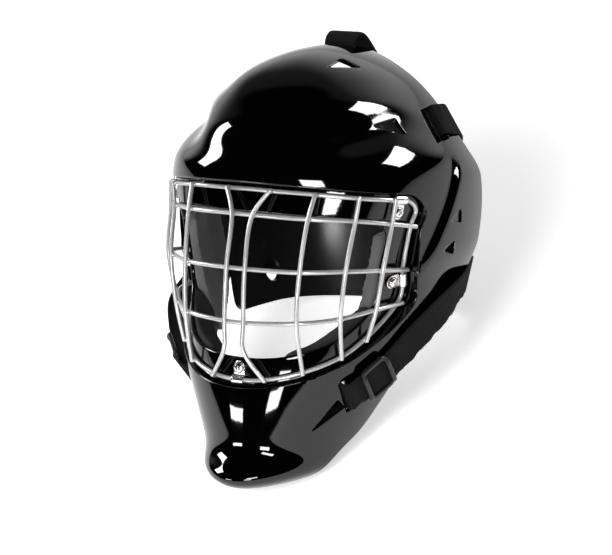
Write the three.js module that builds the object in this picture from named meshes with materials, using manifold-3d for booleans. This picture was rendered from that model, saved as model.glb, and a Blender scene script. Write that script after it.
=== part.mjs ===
// Hockey goalie mask: a glossy moulded shell with a welded wire cage over the face, foam pads inside,
// and a rear cup that elastic straps hold to the shell.
// Millimetres. Every piece is drawn with the mask upright, facing -Y, from the middle of the cage.
// The whole is then pitched back, because unworn it lies on the rim of its chin and the foot of its rear cup.

import * as THREE from 'three';
import { mergeVertices } from 'three/addons/utils/BufferGeometryUtils.js';
import Module from 'manifold-3d';

const wasm = await Module();
wasm.setup();

// Driving dimensions
const clearance = 0.3;
const shellWall = 3.5;
const flangeWall = 3;
const recessMargin = 4.5;
const wireRadius = 1.6;
const wireSides = 6;
const weldSpacing = 2.9;
const barOvershoot = 2.8;
const endOvershoot = 1.2;
const clipWidth = 7.2;
const clipRoom = 0.85;
const clipReach = 8.8;
const clipMetal = 1;
const clipTail = 6;
const screwHeadRadius = 4;
const screwShankRadius = 2;
const screwLength = 4.8;
const screwSides = 8;
const strapWidth = 26;
const strapThickness = 2;
const slotLength = 30;
const sliderLength = 25;
const sliderBar = 3.5;
const sliderHeight = 3;
const plateWall = 3;
const padGap = 0.4;
const jawPadDepth = 14;
const chinFlat = 0.4;
const slotDepth = 16;
const screwHoleLength = 30;
const restPitch = THREE.MathUtils.degToRad(30.5);

// How finely the curved faces are divided
const frontSpan = 112;
const facets = { outer: 24, inner: 14, frame: 18, pad: 12, plate: 22, behind: 4 };
const outlinePoints = { edge: 24, pad: 21, ring: 42 };
const rowCounts = { outer: 27, inner: 15, frame: 8, plate: 11, pad: 6 };
const wireSteps = { frame: 54, level: 22, upright: 7, bentUpright: 11 };
const strapStepsPerRow = 1.4;
const weldDistance = 1e-4;

// Cutting bodies reach well past the mask
const cutterReach = 200;
const cutterBack = 320;
const floorSize = { x: 600, y: 900, z: 200 };

const columns = (names, rows) => rows.map(
  (row) => Object.fromEntries(names.map((name, k) => [name, row[k]])),
);

// Level sections of the shell: front and back are y, half is the half width, met at the widest y,
// and a squareness of 2 is an ellipse.
const shellLevels = columns(['z', 'front', 'half', 'widest', 'back', 'square'], [
  [-150.5, 4, 1, 5, 6, 2],
  [-150.5, -10, 11, 10, 22, 2],
  [-148.5, -19, 23, 16, 36, 2],
  [-144, -25, 37, 27, 56, 2],
  [-138, -25, 49, 43, 85, 2],
  [-131, -19, 54, 51, 97, 2],
  [-123, -13.4, 58, 58, 110, 2],
  [-109, -15.2, 64.2, 65.2, 119, 2.05],
  [-93, -16.3, 71.5, 73, 126, 2.1],
  [-78, -16.5, 79, 80, 134, 2.15],
  [-60, -15.5, 87, 88, 146, 2.2],
  [-38, -14, 95.5, 95, 165, 2.2],
  [-14, -10, 103, 101, 190, 2.2],
  [12, -7, 108, 103, 210, 2.2],
  [36, -5, 110, 104, 222, 2.2],
  [54, -6.5, 110, 104, 226, 2.2],
  [67, -8.5, 109, 104, 226, 2.15],
  [79, -8.5, 106, 104, 224, 2.15],
  [90, 1, 96, 104, 220, 2.3],
  [102, 10, 86, 103, 214, 2.4],
  [116, 15, 75, 102, 205, 2.5],
  [129, 19, 62, 101, 194, 2.5],
  [141, 28, 45, 100, 180, 2.4],
  [151, 50, 25, 100, 155, 2.25],
  [156, 76, 10, 100, 125, 2.1],
  [157, 99, 1, 100, 101, 2],
]);

// Relief of the forehead: a full middle ridge (a negative depth swells) and shallow hollows beside it,
// fading out towards the sides
const hollows = columns(['x', 'z', 'reachX', 'reachZ', 'depth'], [
  [0, 102, 76, 15, -7],
  [0, 119, 30, 17, -3],
  [48, 131, 18, 14, 2],
  [66, 103, 20, 14, 8.5],
]);
const hollowFade = [55, 105];

// The ear panel stands proud behind a slanted crease in the side view
const earPanel = {
  top: { y: 111, z: 84 },
  foot: { y: 56, z: -8 },
  height: 4,
  run: 7,
  fadeFoot: [-8, 22],
  fadeTop: [64, 84],
};

// Free edge of the shell in the side view, from the chin rim up past the ear to the crown
const shellEdge = columns(['y', 'z'], [
  [16, -165], [18, -150], [23, -140], [36, -125], [52, -110], [63, -91], [73, -70], [97, -45],
  [121, -18], [132, 0], [137, 30], [138, 60], [138, 110], [138, 170],
]);

// The surface that the frame wire lies on, and the flange of the face opening behind it
const frameLevels = columns(['z', 'front', 'half', 'widest', 'back', 'square'], [
  [-110, -9, 64, 97, 150, 2.4],
  [-80, -10, 75.5, 97, 170, 2.4],
  [-60, -11.5, 83, 97, 180, 2.4],
  [-40, -9.5, 85, 97, 185, 2.4],
  [-18, -7.5, 89.2, 97, 190, 2.4],
  [6, -4, 93.6, 97, 190, 2.4],
  [37, 1, 101.2, 97, 190, 2.5],
  [62, 4.5, 103.5, 97, 190, 2.65],
  [84, 7, 106, 97, 190, 2.65],
  [110, 9, 108, 97, 190, 2.65],
]);

// The frame wire on that surface, right half, from the top middle round to the foot's middle.
// Level 0 is its top and 4 its foot; upright 5 is its side.
const frameStations = columns(['level', 'upright', 'x', 'z'], [
  [0, 0, 0, 62.4], [0, 1, 17.9, 62.2], [0, 2, 51.3, 61.4], [0, 3, 77.4, 59.1], [0, 4, 93.5, 56.6],
  [0, 5, 98.4, 54.8], [0.5, 5, 99.6, 50], [1, 5, 97.2, 37.4], [2, 5, 90.7, 6], [3, 5, 86.3, -18.6],
  [4, 4, 75, -42.4], [4, 3, 65, -53.9], [4, 2, 45.6, -63.7], [4, 1, 21.2, -69.9], [4, 0, 0, -71.6],
]);

// The inner edge of the flange on the same surface, right half
const openingStations = columns(['x', 'z'], [
  [0, 46.4], [50, 45.4], [74, 43.4], [85.5, 40], [89.5, 33], [84.8, 6], [82, -15], [75.5, -30], [64.5, -42],
  [45, -50.6], [20, -54.8], [0, -55.6],
]);

// Where the level bars cross the uprights, right half, with the bend low in the middle uprights
const crossings = columns(['level', 'upright', 'x', 'y', 'z'], [
  [1, 1, 8.7, -3.1, 45.5], [1, 2, 49.6, 3.7, 44.7], [1, 3, 75.1, 22.4, 43.2], [1, 4, 92, 41.8, 40.2],
  [2, 1, 7.7, -11.7, 8.2], [2, 2, 47.4, -4.2, 8.1], [2, 3, 72.3, 14, 8.5], [2, 4, 89.2, 34.3, 8],
  [3, 1, 7.9, -14.2, -29.7], [3, 2, 45.8, -6.3, -27.8], [3, 3, 68, 14, -25.4], [3, 4, 83.1, 34.7, -20.9],
  [3.5, 1, 8.1, -14.4, -49.3],
]);

// Where each clip holds the frame wire; its screw stands on the flange, a clip's reach inwards
const clipPlaces = columns(['name', 'side', 'x', 'z'], [
  ['top_right', 1, 95.8, 55.8], ['top_left', -1, 95.8, 55.8],
  ['mid_right', 1, 89.2, -1.7], ['mid_left', -1, 89.2, -1.7],
  ['bottom', 1, 0, -71.6],
]);

// Corners of each vent and of the pockets that the side straps come out of, right half
const ventCorners = columns(['vent', 'x', 'y', 'z'], [
  ['crown', 28.4, 56.9, 145.1], ['crown', 39.7, 88.3, 142.9], ['crown', 25.5, 82.6, 149.8],
  ['temple', 68.4, 52.9, 106], ['temple', 84.2, 75.4, 98.2], ['temple', 74.6, 76.2, 109.5],
  ['earUpper', 109.5, 91, 38], ['earUpper', 114, 104, 35.5], ['earUpper', 114, 103, 46],
  ['earLower', 107.5, 84.5, 17], ['earLower', 112, 97, 13.5], ['earLower', 112, 96.5, 24],
  ['jaw', 47, 9.2, -107.4], ['jaw', 64, 28, -91], ['jaw', 62, 21.5, -84.5],
  ['upperStrap', 76.9, 107.1, 113.2], ['upperStrap', 95, 100.7, 91.3],
  ['upperStrap', 93.1, 120.6, 93], ['upperStrap', 74.3, 129.4, 114.9],
  ['lowerStrap', 65.1, 17.2, -71.4], ['lowerStrap', 62.7, 32.1, -96.6],
  ['lowerStrap', 65.6, 36.1, -94.5], ['lowerStrap', 68, 21.2, -69.3],
]);
const ventOut = 10;
// How deep each goes below its corners: it opens only at its deep end
const ventDepths = {
  crown: [0.5, 6, 6],
  temple: [0.4, 4, 4],
  earUpper: [0.4, 4.2, 4.2],
  earLower: [0.4, 4.2, 4.2],
  jaw: [0.3, 0.3, 3],
  upperStrap: [0.6, 0.6, 4.6, 4.6],
  lowerStrap: [0.8, 0.8, 7, 7],
};

// Slot that the top strap comes out of: its middle, and the ways that it runs and opens
const topSlot = { centre: [0, 121.5, 153], width: 5, along: [1, 0, 0], outward: [0, 0, 1] };

// Middle line of each strap, and the way its width runs
const topStrap = columns(['x', 'y', 'z', 'acrossX', 'acrossY', 'acrossZ'], [
  [0, 121.5, 150, 1, 0, 0],
  [0, 122, 158.5, 1, 0, 0],
  [0, 127.5, 163.5, 1, 0, 0],
  [0, 136, 162, 1, 0, 0],
  [0, 146, 154, 1, 0, 0],
  [0, 161, 139, 1, 0, 0],
  [0, 178, 120, 1, 0, 0],
]);
const upperStrap = columns(['x', 'y', 'z', 'acrossX', 'acrossY', 'acrossZ'], [
  [75.2, 118.1, 101.3, 0.62, -0.29, -0.725],
  [79.7, 121, 103.9, 0.62, -0.29, -0.725],
  [82.8, 123, 105.7, 0.62, -0.28, -0.73],
  [84.7, 127.5, 105.5, 0.62, -0.24, -0.74],
  [84.2, 133, 105, 0.62, -0.2, -0.75],
  [83.5, 139.3, 104.4, 0.6, -0.12, -0.78],
  [78.6, 151.5, 100.6, 0.52, 0.08, -0.84],
]);
const lowerStrap = columns(['x', 'y', 'z', 'acrossX', 'acrossY', 'acrossZ', 'leftBulge'], [
  [62.5, 28.5, -82, -0.24, 0.58, -0.78, 0],
  [69, 27.8, -82.5, -0.22, 0.58, -0.78, 1],
  [73.8, 35, -77.5, -0.2, 0.58, -0.78, 4],
  [79, 43.5, -71.8, -0.19, 0.58, -0.79, 8],
  [87, 56.5, -60, -0.17, 0.54, -0.82, 14],
  [96, 71, -44.5, -0.14, 0.48, -0.87, 15],
  [104, 93, -27.5, -0.2, 0.4, -0.9, 6],
  [106.5, 112, -16, -0.34, 0.15, -0.92, 1],
  [102, 127, -13, -0.3, 0, -0.95, 0],
  [96, 141, -12.5, -0.25, 0, -0.97, 0],
]);
const sliderPlace = 0.285;

// Rear cup: level sections, and the edge that it keeps in the side view
const plateLevels = columns(['z', 'front', 'half', 'widest', 'back', 'square'], [
  [-80, -20, 58, 147, 197, 2],
  [-60, -20, 68, 147, 202, 2],
  [-35, -20, 79, 147, 206, 2.1],
  [-8, -20, 87, 147, 210, 2.2],
  [22, -20, 90, 147, 212, 2.2],
  [50, -20, 88, 147, 210, 2.2],
  [74, -10, 79, 147, 203, 2.1],
  [92, 10, 66, 147, 192, 2],
  [106, 60, 47, 147, 177, 2],
  [114, 110, 22, 147, 162, 2],
  [116, 146, 1, 147, 148, 2],
]);
const plateEdge = columns(['y', 'z'], [
  [103, 94], [103, 8], [94, -28], [90, -44], [300, -44], [300, 94],
]);
const plateVent = { y: 151, z: -21, radius: 9, sides: 16 };

// Where each strap lies on the rear cup: level and angle round from the front
const strapLandings = {
  top: [[88, 180], [74, 180]],
  upper: [[84, 128], [78, 143]],
  lower: [[-12, 106], [-14, 122]],
};

// The hollow left for the head, and the face where base foam meets comfort foam
const headLevels = columns(['z', 'front', 'half', 'widest', 'back', 'square'], [
  [-100, 12, 52, 105, 190, 2],
  [-70, 8, 62, 105, 190, 2],
  [-40, 5, 74, 105, 190, 2],
  [-10, 3, 85, 105, 190, 2],
  [20, 2, 92, 105, 190, 2],
  [50, 2, 94, 105, 190, 2],
  [110, 2, 94, 105, 190, 2],
]);
const foamLevels = columns(['z', 'front', 'half', 'widest', 'back', 'square'], [
  [-100, 0, 61, 105, 190, 2],
  [-70, -4, 71, 105, 190, 2],
  [-40, -7, 82, 105, 190, 2],
  [-10, -9, 93, 105, 190, 2],
  [20, -10, 98.5, 105, 190, 2],
  [50, -10, 99.5, 105, 190, 2],
  [110, -10, 99.5, 105, 190, 2],
]);

// Pads: base and liner in the side view, jaw pad in the front view
const cheekBaseOutline = columns(['y', 'z'], [
  [47, 8], [68, 27], [82, 41], [102, 37], [108, 4], [96, -34], [66, -58], [47, -44],
]);
const cheekLinerOutline = columns(['y', 'z'], [
  [45, 31], [74, 39], [97, 33], [102, 4], [90, -30], [64, -52], [45, -40],
]);
const jawPadOutline = columns(['x', 'z'], [
  [30, -66], [50, -61], [66, -53], [77, -40], [80, -26], [72, -18.5],
  [64.5, -27], [56.5, -36], [44.5, -46], [30, -52.5],
]);

const padSpan = { fromX: 20, toX: 140 };
const jawSpan = { fromY: -40, toY: 43 };

const finishes = {
  shell: { color: 0x060606, roughness: 0.08, metalness: 0 },
  plate: { color: 0x101010, roughness: 0.35, metalness: 0 },
  steel: { color: 0xd4d6d8, roughness: 0.22, metalness: 1 },
  webbing: { color: 0x161616, roughness: 0.9, metalness: 0 },
  slider: { color: 0x0c0c0c, roughness: 0.4, metalness: 0 },
  baseFoam: { color: 0x141414, roughness: 0.95, metalness: 0 },
  comfortFoam: { color: 0x6f7074, roughness: 0.95, metalness: 0 },
};

const vector = (p) => new THREE.Vector3(p.x, p.y, p.z);
const mirrored = (p) => new THREE.Vector3(-p.x, p.y, p.z);

function smoothStep(from, to, value) {
  return THREE.MathUtils.smoothstep(value, from, to);
}

// A point between the rows of a level table, as a uniform cubic B-spline
function blendLevels(levels, position) {
  const last = levels.length - 1;
  const i = Math.min(Math.floor(position), last - 1);
  const t = position - i;
  const weights = [(1 - t) ** 3, 3 * t ** 3 - 6 * t ** 2 + 4, -3 * t ** 3 + 3 * t ** 2 + 3 * t + 1, t ** 3];
  const control = (k, name) => {
    if (k < 0) return 2 * levels[0][name] - levels[1][name];
    if (k > last) return 2 * levels[last][name] - levels[last - 1][name];
    return levels[k][name];
  };
  const mixed = {};
  for (const name of Object.keys(levels[0])) {
    mixed[name] = weights.reduce((sum, weight, k) => sum + weight * control(i - 1 + k, name), 0) / 6;
  }
  return mixed;
}

function levelAt(levels, z) {
  let low = 0;
  let high = levels.length - 1;
  const halvings = 40;
  for (let k = 0; k < halvings; k += 1) {
    const middle = (low + high) / 2;
    if (blendLevels(levels, middle).z < z) low = middle;
    else high = middle;
  }
  return blendLevels(levels, low);
}

// A point of a level section; the angle runs from the front, through the right side, to the back
function sectionPoint(level, angle) {
  const power = 2 / level.square;
  const across = Math.sign(Math.sin(angle)) * Math.abs(Math.sin(angle)) ** power;
  const along = Math.sign(Math.cos(angle)) * Math.abs(Math.cos(angle)) ** power;
  const depth = along > 0 ? level.widest - level.front : level.back - level.widest;
  return new THREE.Vector3(level.half * across, level.widest - depth * along, level.z);
}

// Many angles round the front, few round the back
function ringAngles(frontSpan, frontCount, backCount) {
  const span = THREE.MathUtils.degToRad(frontSpan);
  const angles = [];
  for (let k = 0; k <= frontCount; k += 1) angles.push(-span + (2 * span * k) / frontCount);
  const rest = 2 * Math.PI - 2 * span;
  for (let k = 1; k < backCount; k += 1) angles.push(span + (rest * k) / backCount);
  return angles;
}

function gridNormals(grid) {
  const last = grid.length - 1;
  const count = grid[0].length;
  return grid.map((ring, i) => ring.map((point, j) => {
    const around = new THREE.Vector3().subVectors(ring[(j + 1) % count], ring[(j + count - 1) % count]);
    const along = new THREE.Vector3().subVectors(grid[Math.min(i + 1, last)][j], grid[Math.max(i - 1, 0)][j]);
    return around.cross(along).normalize();
  }));
}

const moveGrid = (grid, normals, amount) => grid.map(
  (ring, i) => ring.map((point, j) => point.clone().addScaledVector(normals[i][j], amount(point))),
);

// Hollows sink in and the ear panel rises
function shellRelief(point) {
  let rise = 0;
  for (const hollow of hollows) {
    const overX = (Math.abs(point.x) - hollow.x) / hollow.reachX;
    const overZ = (point.z - hollow.z) / hollow.reachZ;
    rise -= hollow.depth * Math.exp(-(overX ** 2) - overZ ** 2) * (1 - smoothStep(...hollowFade, point.y));
  }
  const { top, foot, height, run, fadeFoot, fadeTop } = earPanel;
  const crease = new THREE.Vector2(top.y - foot.y, top.z - foot.z).normalize();
  const behind = (point.y - foot.y) * crease.y - (point.z - foot.z) * crease.x;
  const fade = smoothStep(...fadeFoot, point.z) * (1 - smoothStep(...fadeTop, point.z));
  return rise + height * fade * smoothStep(-run / 2, run / 2, behind);
}

function levelGrid(levels, rowCount, angles, inset, relief) {
  let grid = [];
  for (let k = 0; k <= rowCount; k += 1) {
    const level = blendLevels(levels, ((levels.length - 1) * k) / rowCount);
    grid.push(angles.map((angle) => sectionPoint(level, angle)));
  }
  if (relief) grid = moveGrid(grid, gridNormals(grid), relief);
  return moveGrid(grid, gridNormals(grid), () => -inset);
}

// A closed skin through rings of points, with a fan over each end; its left half mirrors its right
function loft(rings, caps) {
  const count = rings[0].length;
  const last = rings.length - 1;
  const middle = (ring) => ring.reduce((sum, p) => sum.add(p), new THREE.Vector3()).divideScalar(ring.length);
  const ends = caps ?? [middle(rings[0]), middle(rings[last])];
  const points = [...rings.flat(), ...ends];
  const triangles = [];
  for (let i = 0; i < last; i += 1) {
    for (let j = 0; j < count; j += 1) {
      const k = (j + 1) % count;
      const [a, b, c, d] = [i * count + j, i * count + k, (i + 1) * count + k, (i + 1) * count + j];
      if (points[a].x + points[c].x < 0) triangles.push(a, b, d, b, c, d);
      else triangles.push(a, b, c, a, c, d);
    }
  }
  for (let j = 0; j < count; j += 1) {
    const k = (j + 1) % count;
    triangles.push(points.length - 2, k, j);
    triangles.push(points.length - 1, last * count + j, last * count + k);
  }
  let volume = 0;
  for (let t = 0; t < triangles.length; t += 3) {
    const [a, b, c] = triangles.slice(t, t + 3).map((corner) => points[corner]);
    volume += a.dot(b.clone().cross(c));
  }
  if (volume < 0) triangles.reverse();
  const geometry = new THREE.BufferGeometry().setFromPoints(points);
  geometry.setIndex(triangles);
  return geometry;
}

function solidOf(geometry) {
  const bare = geometry.index ? geometry.toNonIndexed() : geometry.clone();
  bare.deleteAttribute('normal');
  bare.deleteAttribute('uv');
  const merged = mergeVertices(bare, weldDistance);
  return new wasm.Manifold(new wasm.Mesh({
    numProp: 3,
    vertProperties: Float32Array.from(merged.attributes.position.array),
    triVerts: Uint32Array.from(merged.index.array),
  }));
}

function geometryOf(solid) {
  const mesh = solid.getMesh();
  const geometry = new THREE.BufferGeometry();
  geometry.setAttribute('position', new THREE.BufferAttribute(Float32Array.from(mesh.vertProperties), 3));
  geometry.setIndex(new THREE.BufferAttribute(Uint32Array.from(mesh.triVerts), 1));
  geometry.computeVertexNormals();
  return geometry;
}

const joined = (solids) => solids.reduce((all, solid) => all.add(solid));

const levelSolid = (levels, rowCount, angles, inset, relief) => solidOf(
  loft(levelGrid(levels, rowCount, angles, inset, relief)),
);

// An outline drawn in the side view (y, z), cut right across the mask
function sideCutter(points, fromX, toX) {
  const depth = toX - fromX;
  const geometry = new THREE.ExtrudeGeometry(new THREE.Shape(points), { depth, bevelEnabled: false });
  const [x, y, z] = [new THREE.Vector3(1, 0, 0), new THREE.Vector3(0, 1, 0), new THREE.Vector3(0, 0, 1)];
  geometry.applyMatrix4(new THREE.Matrix4().makeBasis(y, z, x));
  geometry.translate(fromX, 0, 0);
  return solidOf(geometry);
}

// An outline drawn in the front view (x, z), cut from front to back
function frontCutter(points, fromY, toY) {
  const depth = toY - fromY;
  const geometry = new THREE.ExtrudeGeometry(new THREE.Shape(points), { depth, bevelEnabled: false });
  geometry.rotateX(Math.PI / 2);
  geometry.translate(0, toY, 0);
  return solidOf(geometry);
}

const softOutline = (rows, first, second) => new THREE.SplineCurve(
  [...rows, rows[0]].map((row) => new THREE.Vector2(row[first], row[second])),
).getPoints(outlinePoints.pad).slice(0, -1);

// A block with its length, width and depth along the given ways
function turnedBlock(size, centre, along, outward) {
  const u = new THREE.Vector3(...along).normalize();
  const n = new THREE.Vector3(...outward);
  n.addScaledVector(u, -n.dot(u)).normalize();
  const geometry = new THREE.BoxGeometry(...size);
  geometry.applyMatrix4(new THREE.Matrix4().makeBasis(u, new THREE.Vector3().crossVectors(n, u), n));
  geometry.translate(...centre);
  return solidOf(geometry);
}

// A point of the frame's surface
function framePoint(x, z) {
  const level = levelAt(frameLevels, z);
  const reach = (1 - Math.abs(x / level.half) ** level.square) ** (1 / level.square);
  return new THREE.Vector3(x, level.widest - (level.widest - level.front) * reach, z);
}

// A closed curve on the frame's surface through the stations of its right half
function loopOnFace(stations) {
  const spacing = 80;
  const outline = new THREE.CatmullRomCurve3([
    ...stations.map((row) => new THREE.Vector3(row.x, 0, row.z)),
    ...stations.slice(1, -1).reverse().map((row) => new THREE.Vector3(-row.x, 0, row.z)),
  ], true, 'centripetal');
  const points = outline.getSpacedPoints(spacing).slice(0, spacing);
  return new THREE.CatmullRomCurve3(points.map((point) => framePoint(point.x, point.z)), true, 'centripetal');
}

const frameLoop = loopOnFace(frameStations);
const openingLoop = loopOnFace(openingStations);

// Out of the frame's surface, from the slope of its section formula
function faceOutward(p) {
  const sectionValue = (x, y, z) => {
    const level = levelAt(frameLevels, z);
    const across = Math.abs(x / level.half) ** level.square;
    return across + Math.abs((level.widest - y) / (level.widest - level.front)) ** level.square;
  };
  const step = 0.5;
  return new THREE.Vector3(
    sectionValue(p.x + step, p.y, p.z) - sectionValue(p.x - step, p.y, p.z),
    sectionValue(p.x, p.y + step, p.z) - sectionValue(p.x, p.y - step, p.z),
    sectionValue(p.x, p.y, p.z + step) - sectionValue(p.x, p.y, p.z - step),
  ).normalize();
}

// Places along a loop, closer together where it turns
function turningPlaces(loop, count) {
  const samples = 400;
  const turnLength = 30;
  const tangents = Array.from({ length: samples + 1 }, (_, k) => loop.getTangentAt(k / samples));
  const measure = [0];
  for (let k = 1; k <= samples; k += 1) {
    const turn = tangents[k].angleTo(tangents[k - 1]);
    measure.push(measure[k - 1] + loop.getLength() / samples + turnLength * turn);
  }
  return Array.from({ length: count }, (_, i) => {
    const wanted = (measure[samples] * i) / count;
    const k = measure.findIndex((value) => value > wanted) - 1;
    return (k + (wanted - measure[k]) / (measure[k + 1] - measure[k])) / samples;
  });
}

// A loop grown in the surface and raised out of it
function loopRing(loop, grow, rise) {
  return turningPlaces(loop, outlinePoints.ring).map((t) => {
    const point = loop.getPointAt(t);
    const outward = faceOutward(point);
    const aside = new THREE.Vector3().crossVectors(outward, loop.getTangentAt(t)).normalize();
    return point.addScaledVector(aside, grow).addScaledVector(outward, rise);
  });
}

// A plug through the face, bounded by a grown loop
const plugOut = 30;
const plugIn = 26;
const plugCaps = [new THREE.Vector3(0, -90, 0), new THREE.Vector3(0, 80, 0)];
const facePlug = (loop, grow) => solidOf(
  loft([loopRing(loop, grow, plugOut), loopRing(loop, grow, -plugIn)], plugCaps),
);

// Shell
const outerAngles = ringAngles(frontSpan, facets.outer, facets.behind);
const innerAngles = ringAngles(frontSpan, facets.inner, facets.behind);
const frameAngles = ringAngles(frontSpan, facets.frame, facets.behind);
const shellOuter = levelSolid(shellLevels, rowCounts.outer, outerAngles, 0, shellRelief);
const shellInner = levelSolid(shellLevels, rowCounts.inner, innerAngles, shellWall, shellRelief);
const padSeat = levelSolid(shellLevels, rowCounts.inner, innerAngles, shellWall + padGap, shellRelief);
const shellClear = levelSolid(shellLevels, rowCounts.outer, outerAngles, -clearance, shellRelief);
const framed = (inset) => levelSolid(frameLevels, rowCounts.frame, frameAngles, inset);
const flangeFront = wireRadius + 2 * clearance;
const flangeBack = flangeFront + flangeWall;

const edgeCurve = new THREE.SplineCurve(shellEdge.map((row) => new THREE.Vector2(row.y, row.z)));
const farBehind = [shellEdge.at(-1), shellEdge[0]].map((row) => new THREE.Vector2(cutterBack, row.z));
const behindEdge = [...edgeCurve.getPoints(outlinePoints.edge), ...farBehind];
const rearTrim = sideCutter(behindEdge, -cutterReach, cutterReach);

const mirroredX = (solid) => solid.mirror([1, 0, 0]);
const topSlotCut = turnedBlock([slotLength, topSlot.width, slotDepth], topSlot.centre, topSlot.along, topSlot.outward);

// Vents and strap pockets: an outline sunk into the wall down to a sloping floor
function ventCutter(name) {
  const corners = ventCorners.filter((row) => row.vent === name).map(vector);
  const normal = new THREE.Triangle(...corners).getNormal(new THREE.Vector3());
  if (normal.x < 0) normal.negate();
  const shifted = (rise) => corners.map((corner, k) => corner.clone().addScaledVector(normal, rise(k)));
  return solidOf(loft([shifted(() => ventOut), shifted((k) => -ventDepths[name][k])]));
}

const ventNames = [...new Set(ventCorners.map((row) => row.vent))];
const ventCuts = joined(ventNames.flatMap((name) => [ventCutter(name), mirroredX(ventCutter(name))]));

// Clips and screws: where each stands, from the frame wire towards its screw
function clipFrame(place) {
  const wanted = framePoint(place.side * place.x, place.z);
  const samples = 800;
  let nearest = 0;
  for (let k = 1; k < samples; k += 1) {
    const nearer = frameLoop.getPointAt(k / samples).distanceTo(wanted);
    if (nearer < frameLoop.getPointAt(nearest / samples).distanceTo(wanted)) nearest = k;
  }
  const wire = frameLoop.getPointAt(nearest / samples);
  const along = frameLoop.getTangentAt(nearest / samples);
  const aside = new THREE.Vector3().crossVectors(along, faceOutward(wire));
  const outward = faceOutward(wire.clone().addScaledVector(aside, clipReach / 2));
  outward.addScaledVector(along, -outward.dot(along)).normalize();
  const inward = new THREE.Vector3().crossVectors(along, outward);
  const screw = wire.clone().addScaledVector(inward, clipReach);
  return { wire, along, outward, inward, screw };
}

const tabFoot = 1.5 * clearance - flangeFront;
const tabTop = tabFoot + clipMetal;

function clipSolid(frame) {
  const inner = wireRadius + clipRoom;
  const outer = inner + clipMetal;
  const profile = new THREE.Shape();
  profile.moveTo(clipReach + clipTail, tabFoot);
  profile.lineTo(clipReach + clipTail, tabTop);
  profile.absarc(0, 0, outer, Math.asin(tabTop / outer), Math.PI, false);
  profile.lineTo(-outer, tabFoot);
  profile.lineTo(-inner, tabFoot);
  profile.absarc(0, 0, inner, Math.PI, Math.asin(tabFoot / inner), true);
  const extrusion = { depth: clipWidth, curveSegments: 4, bevelEnabled: false };
  const geometry = new THREE.ExtrudeGeometry(profile, extrusion);
  geometry.translate(0, 0, -clipWidth / 2);
  const depthward = frame.along.clone().negate();
  geometry.applyMatrix4(new THREE.Matrix4().makeBasis(frame.inward, frame.outward, depthward));
  geometry.translate(frame.wire.x, frame.wire.y, frame.wire.z);
  return solidOf(geometry);
}

// A round piece standing on a clip's tab, its axis out of the face
function onTab(geometry, frame, rise) {
  const axis = new THREE.Vector3(0, 1, 0);
  geometry.applyQuaternion(new THREE.Quaternion().setFromUnitVectors(axis, frame.outward));
  const foot = frame.screw.clone().addScaledVector(frame.outward, tabTop + rise);
  geometry.translate(foot.x, foot.y, foot.z);
  return geometry;
}

const screwHead = columns(['share', 'height'], [[1, 0], [1, 1.1], [0.78, 2.1], [0.4, 2.6], [0, 2.7]]);
const screwProfile = [
  new THREE.Vector2(0, -screwLength),
  new THREE.Vector2(screwShankRadius, -screwLength),
  new THREE.Vector2(screwShankRadius, 0),
  ...screwHead.map((row) => new THREE.Vector2(screwHeadRadius * row.share, row.height)),
];
const screwGeometry = (frame) => onTab(new THREE.LatheGeometry(screwProfile, screwSides), frame, clearance);
const screwHoleRadius = screwShankRadius + clearance;
const screwHole = (frame) => solidOf(onTab(
  new THREE.CylinderGeometry(screwHoleRadius, screwHoleRadius, screwHoleLength, screwSides), frame, 0,
));

const clipFrames = clipPlaces.map((place) => ({ name: place.name, ...clipFrame(place) }));
const screwHoles = joined(clipFrames.map(screwHole));

// Height over the surface that the mask lies on, for a point of the upright mask
const restHeight = (p) => p.z * Math.cos(restPitch) - p.y * Math.sin(restPitch);

function floorBlock(height) {
  const geometry = new THREE.BoxGeometry(floorSize.x, floorSize.y, floorSize.z);
  geometry.translate(0, 0, height - floorSize.z / 2);
  geometry.rotateX(restPitch);
  return solidOf(geometry);
}

// The cavity leaves a collar round the face: the recess wall and the flange behind the frame wire
const collar = facePlug(frameLoop, recessMargin + flangeWall).subtract(framed(flangeBack));
const recess = facePlug(frameLoop, recessMargin).subtract(framed(flangeFront));
const shellWhole = shellOuter.subtract(shellInner.subtract(collar))
  .subtract(recess)
  .subtract(facePlug(openingLoop, 0))
  .subtract(rearTrim)
  .subtract(ventCuts)
  .subtract(topSlotCut)
  .subtract(screwHoles);

const chinHeight = (() => {
  const { vertProperties } = shellWhole.getMesh();
  let lowest = Infinity;
  for (let k = 0; k < vertProperties.length; k += 3) {
    const [x, y, z] = vertProperties.slice(k, k + 3);
    lowest = Math.min(lowest, restHeight({ x, y, z }));
  }
  return lowest;
})();
const floorHeight = chinHeight + chinFlat;
const shell = shellWhole.subtract(floorBlock(floorHeight));

// Rear cup
const plateAngles = ringAngles(180, facets.plate, 1).slice(0, -1);
const plateSolid = (inset) => levelSolid(plateLevels, rowCounts.plate, plateAngles, inset);
const plateClear = plateSolid(-clearance);
const plateOutline = plateEdge.map((row) => new THREE.Vector2(row.y, row.z));
const behindFront = sideCutter(plateOutline, -cutterReach, cutterReach);
const plateVentCut = (() => {
  const { radius, sides } = plateVent;
  const geometry = new THREE.CylinderGeometry(radius, radius, 2 * cutterReach, sides);
  geometry.rotateZ(Math.PI / 2);
  geometry.translate(0, plateVent.y, plateVent.z);
  return solidOf(geometry);
})();
const backplate = plateSolid(0).subtract(plateSolid(plateWall))
  .intersect(behindFront)
  .subtract(plateVentCut)
  .subtract(floorBlock(floorHeight));

// Cage: frame loop, level bars inside the uprights, all welded
function wireAlong(points, steps) {
  const circle = new THREE.EllipseCurve(0, 0, wireRadius, wireRadius);
  const section = new THREE.Shape(circle.getPoints(wireSides).slice(0, -1));
  const path = new THREE.CatmullRomCurve3(points, false, 'centripetal');
  return solidOf(new THREE.ExtrudeGeometry(section, { steps, extrudePath: path }));
}

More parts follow.
